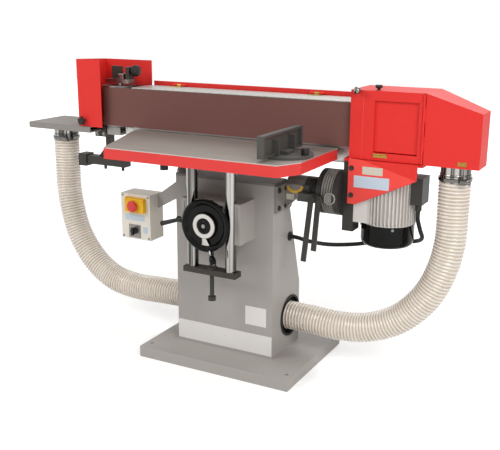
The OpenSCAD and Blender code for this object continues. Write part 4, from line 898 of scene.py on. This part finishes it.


# hinge of the hatch, latch of the chute, painted light on the lower panel

hatchHinge = {"leaf": ((0.504, -0.0063, 0.8085), (0.552, -0.0047, 0.8185)), "edge": 0.0005, "sides": 20,
              "rolls": [(x, -0.0070, 0.8195) for x in (0.504, 0.5201, 0.5362)],
              "roll": [(0, 0), (0.0026, 0), (0.0030, 0.0006), (0.0030, 0.0150), (0.0026, 0.0156),
                       (0, 0.0156)]}
chuteLatch = {"leafEdge": 0.0006, "barEdge": 0.0010,
              "leaves": [((0.789, -0.0066, 0.805), (0.800, -0.0048, 0.819)),
                         ((0.802, -0.0066, 0.805), (0.818, -0.0048, 0.819))],
              "bar": ((0.793, -0.0090, 0.809), (0.814, -0.0062, 0.815))}
# painted light: a flat paler red plate over the lower panel, up to the diagonal where the door's shadow begins
panelPaintedLight = {"on": -0.0205,
             "outline": [(0.4240, 0.8015), (0.4700, 0.7985), (0.6610, 0.7445), (0.4530, 0.6438),
                         (0.4240, 0.6438)]}


def buildDoorTrim():
    rolls = [turned(hatchHinge["roll"], at, right, hatchHinge["sides"]) for at in hatchHinge["rolls"]]
    leaf = slab(*hatchHinge["leaf"], hatchHinge["edge"])
    joined("hatchHinge", [leaf] + rolls, "brass", "drum_door")
    leaves = [slab(*leaf, chuteLatch["leafEdge"]) for leaf in chuteLatch["leaves"]]
    joined("chuteLatch", leaves + [slab(*chuteLatch["bar"], chuteLatch["barEdge"])], "brass", "head")
    put("panelPaintedLight", plate(panelPaintedLight["outline"], panelPaintedLight["on"]), "redLight", "head")


buildDoorTrim()


# painted highlight on the handwheel: a thin pale satin sheet from its ring down to the crank

paintedGlint = {"top": (-0.010, -0.2565, 0.5155), "drift": 0.004, "depth": 0.0040, "drop": 0.026, "half": 0.0080,
         "widening": 0.0075, "crown": 0.0030, "wall": 0.002, "rows": 8, "columns": 3}


def paintedGlintPoint(s, across):           # s from 0 at the ring to 1 at the crank, across from -1 to 1
    x, y, z = paintedGlint["top"]
    half = paintedGlint["half"] + paintedGlint["widening"] * s
    bulge = paintedGlint["crown"] * (1 - across ** 2)
    return x + paintedGlint["drift"] * s + half * across, y + paintedGlint["depth"] * s - bulge, z - paintedGlint["drop"] * s


def buildPaintedGlint():
    bm = bmesh.new()
    count, reach = paintedGlint["rows"], paintedGlint["columns"]     # columns on each side of the middle
    rows = [[bm.verts.new(paintedGlintPoint(k / count, j / reach)) for j in range(-reach, reach + 1)]
            for k in range(count + 1)]
    for a, b in zip(rows, rows[1:]):
        for j in range(2 * reach):
            bm.faces.new((a[j], a[j + 1], b[j + 1], b[j]))
    bmesh.ops.recalc_face_normals(bm, faces=bm.faces)
    piece = put("wheelPaintedGlint", meshFrom(bm, "wheelPaintedGlint", smooth=True), "wheelRing", "handwheel")
    wall = piece.modifiers.new("wall", "SOLIDIFY")
    wall.thickness = paintedGlint["wall"]
    wall.offset = -1.0


buildPaintedGlint()


# idler end: star knob of the guard, slide and shields of the belt tension

guardKnob = {"at": (-0.712, -0.022, 0.850), "sides": 30, "lobes": 5, "first": 0.3, "reach": 0.0125,
             "lobeSides": 14,
             "hub": [(0, 0), (0.006, 0), (0.006, 0.008), (0.012, 0.010), (0.0145, 0.015), (0.0130, 0.022),
                     (0, 0.024)],
             "lobe": [(0, 0.010), (0.0050, 0.011), (0.0056, 0.015), (0.0048, 0.020), (0, 0.0215)]}
tension = {"slide": ((-0.599, 0.0620, 1.0125), (-0.573, 0.1000, 1.0340)), "slideEdge": 0.0015,
           "shieldEdge": 0.0012,
           "shields": [((-0.655, 0.0960, 1.0125), (-0.602, 0.1020, 1.0620)),
                       ((-0.5640, 0.0640, 1.0125), (-0.5470, 0.1010, 1.0615))]}


def buildEndTrim():
    k = guardKnob
    parts = [turned(k["hub"], k["at"], front, k["sides"])]
    for i in range(k["lobes"]):
        t = 2 * math.pi * i / k["lobes"] + k["first"]
        out = (k["reach"] * math.cos(t), 0, k["reach"] * math.sin(t))
        parts.append(turned(k["lobe"], shifted(k["at"], out), front, k["lobeSides"]))
    joined("guardKnob", parts, "black", "head")
    put("tensionSlide", slab(*tension["slide"], tension["slideEdge"]), "steel", "tension_carriage")
    joined("tensionShield", [slab(*box, tension["shieldEdge"]) for box in tension["shields"]],
           "dark", "tension_carriage")


buildEndTrim()


# yellow angle scale on the tilt bracket

angleScale = {"on": -0.0388, "radii": (0.026, 0.036), "start": 205, "sweep": 138, "steps": 24}


def buildAngleScale():
    x, z = scaleCentre
    count = angleScale["steps"]
    turns = [math.radians(angleScale["start"] + angleScale["sweep"] * k / count) for k in range(count + 1)]
    inner, outer = [[(x + r * math.cos(t), z + r * math.sin(t)) for t in turns] for r in angleScale["radii"]]
    put("angleScale", plate(outer + inner[::-1], angleScale["on"]), "yellowScale", "stand")


buildAngleScale()
print("collars, hinges, knobs and scale on")
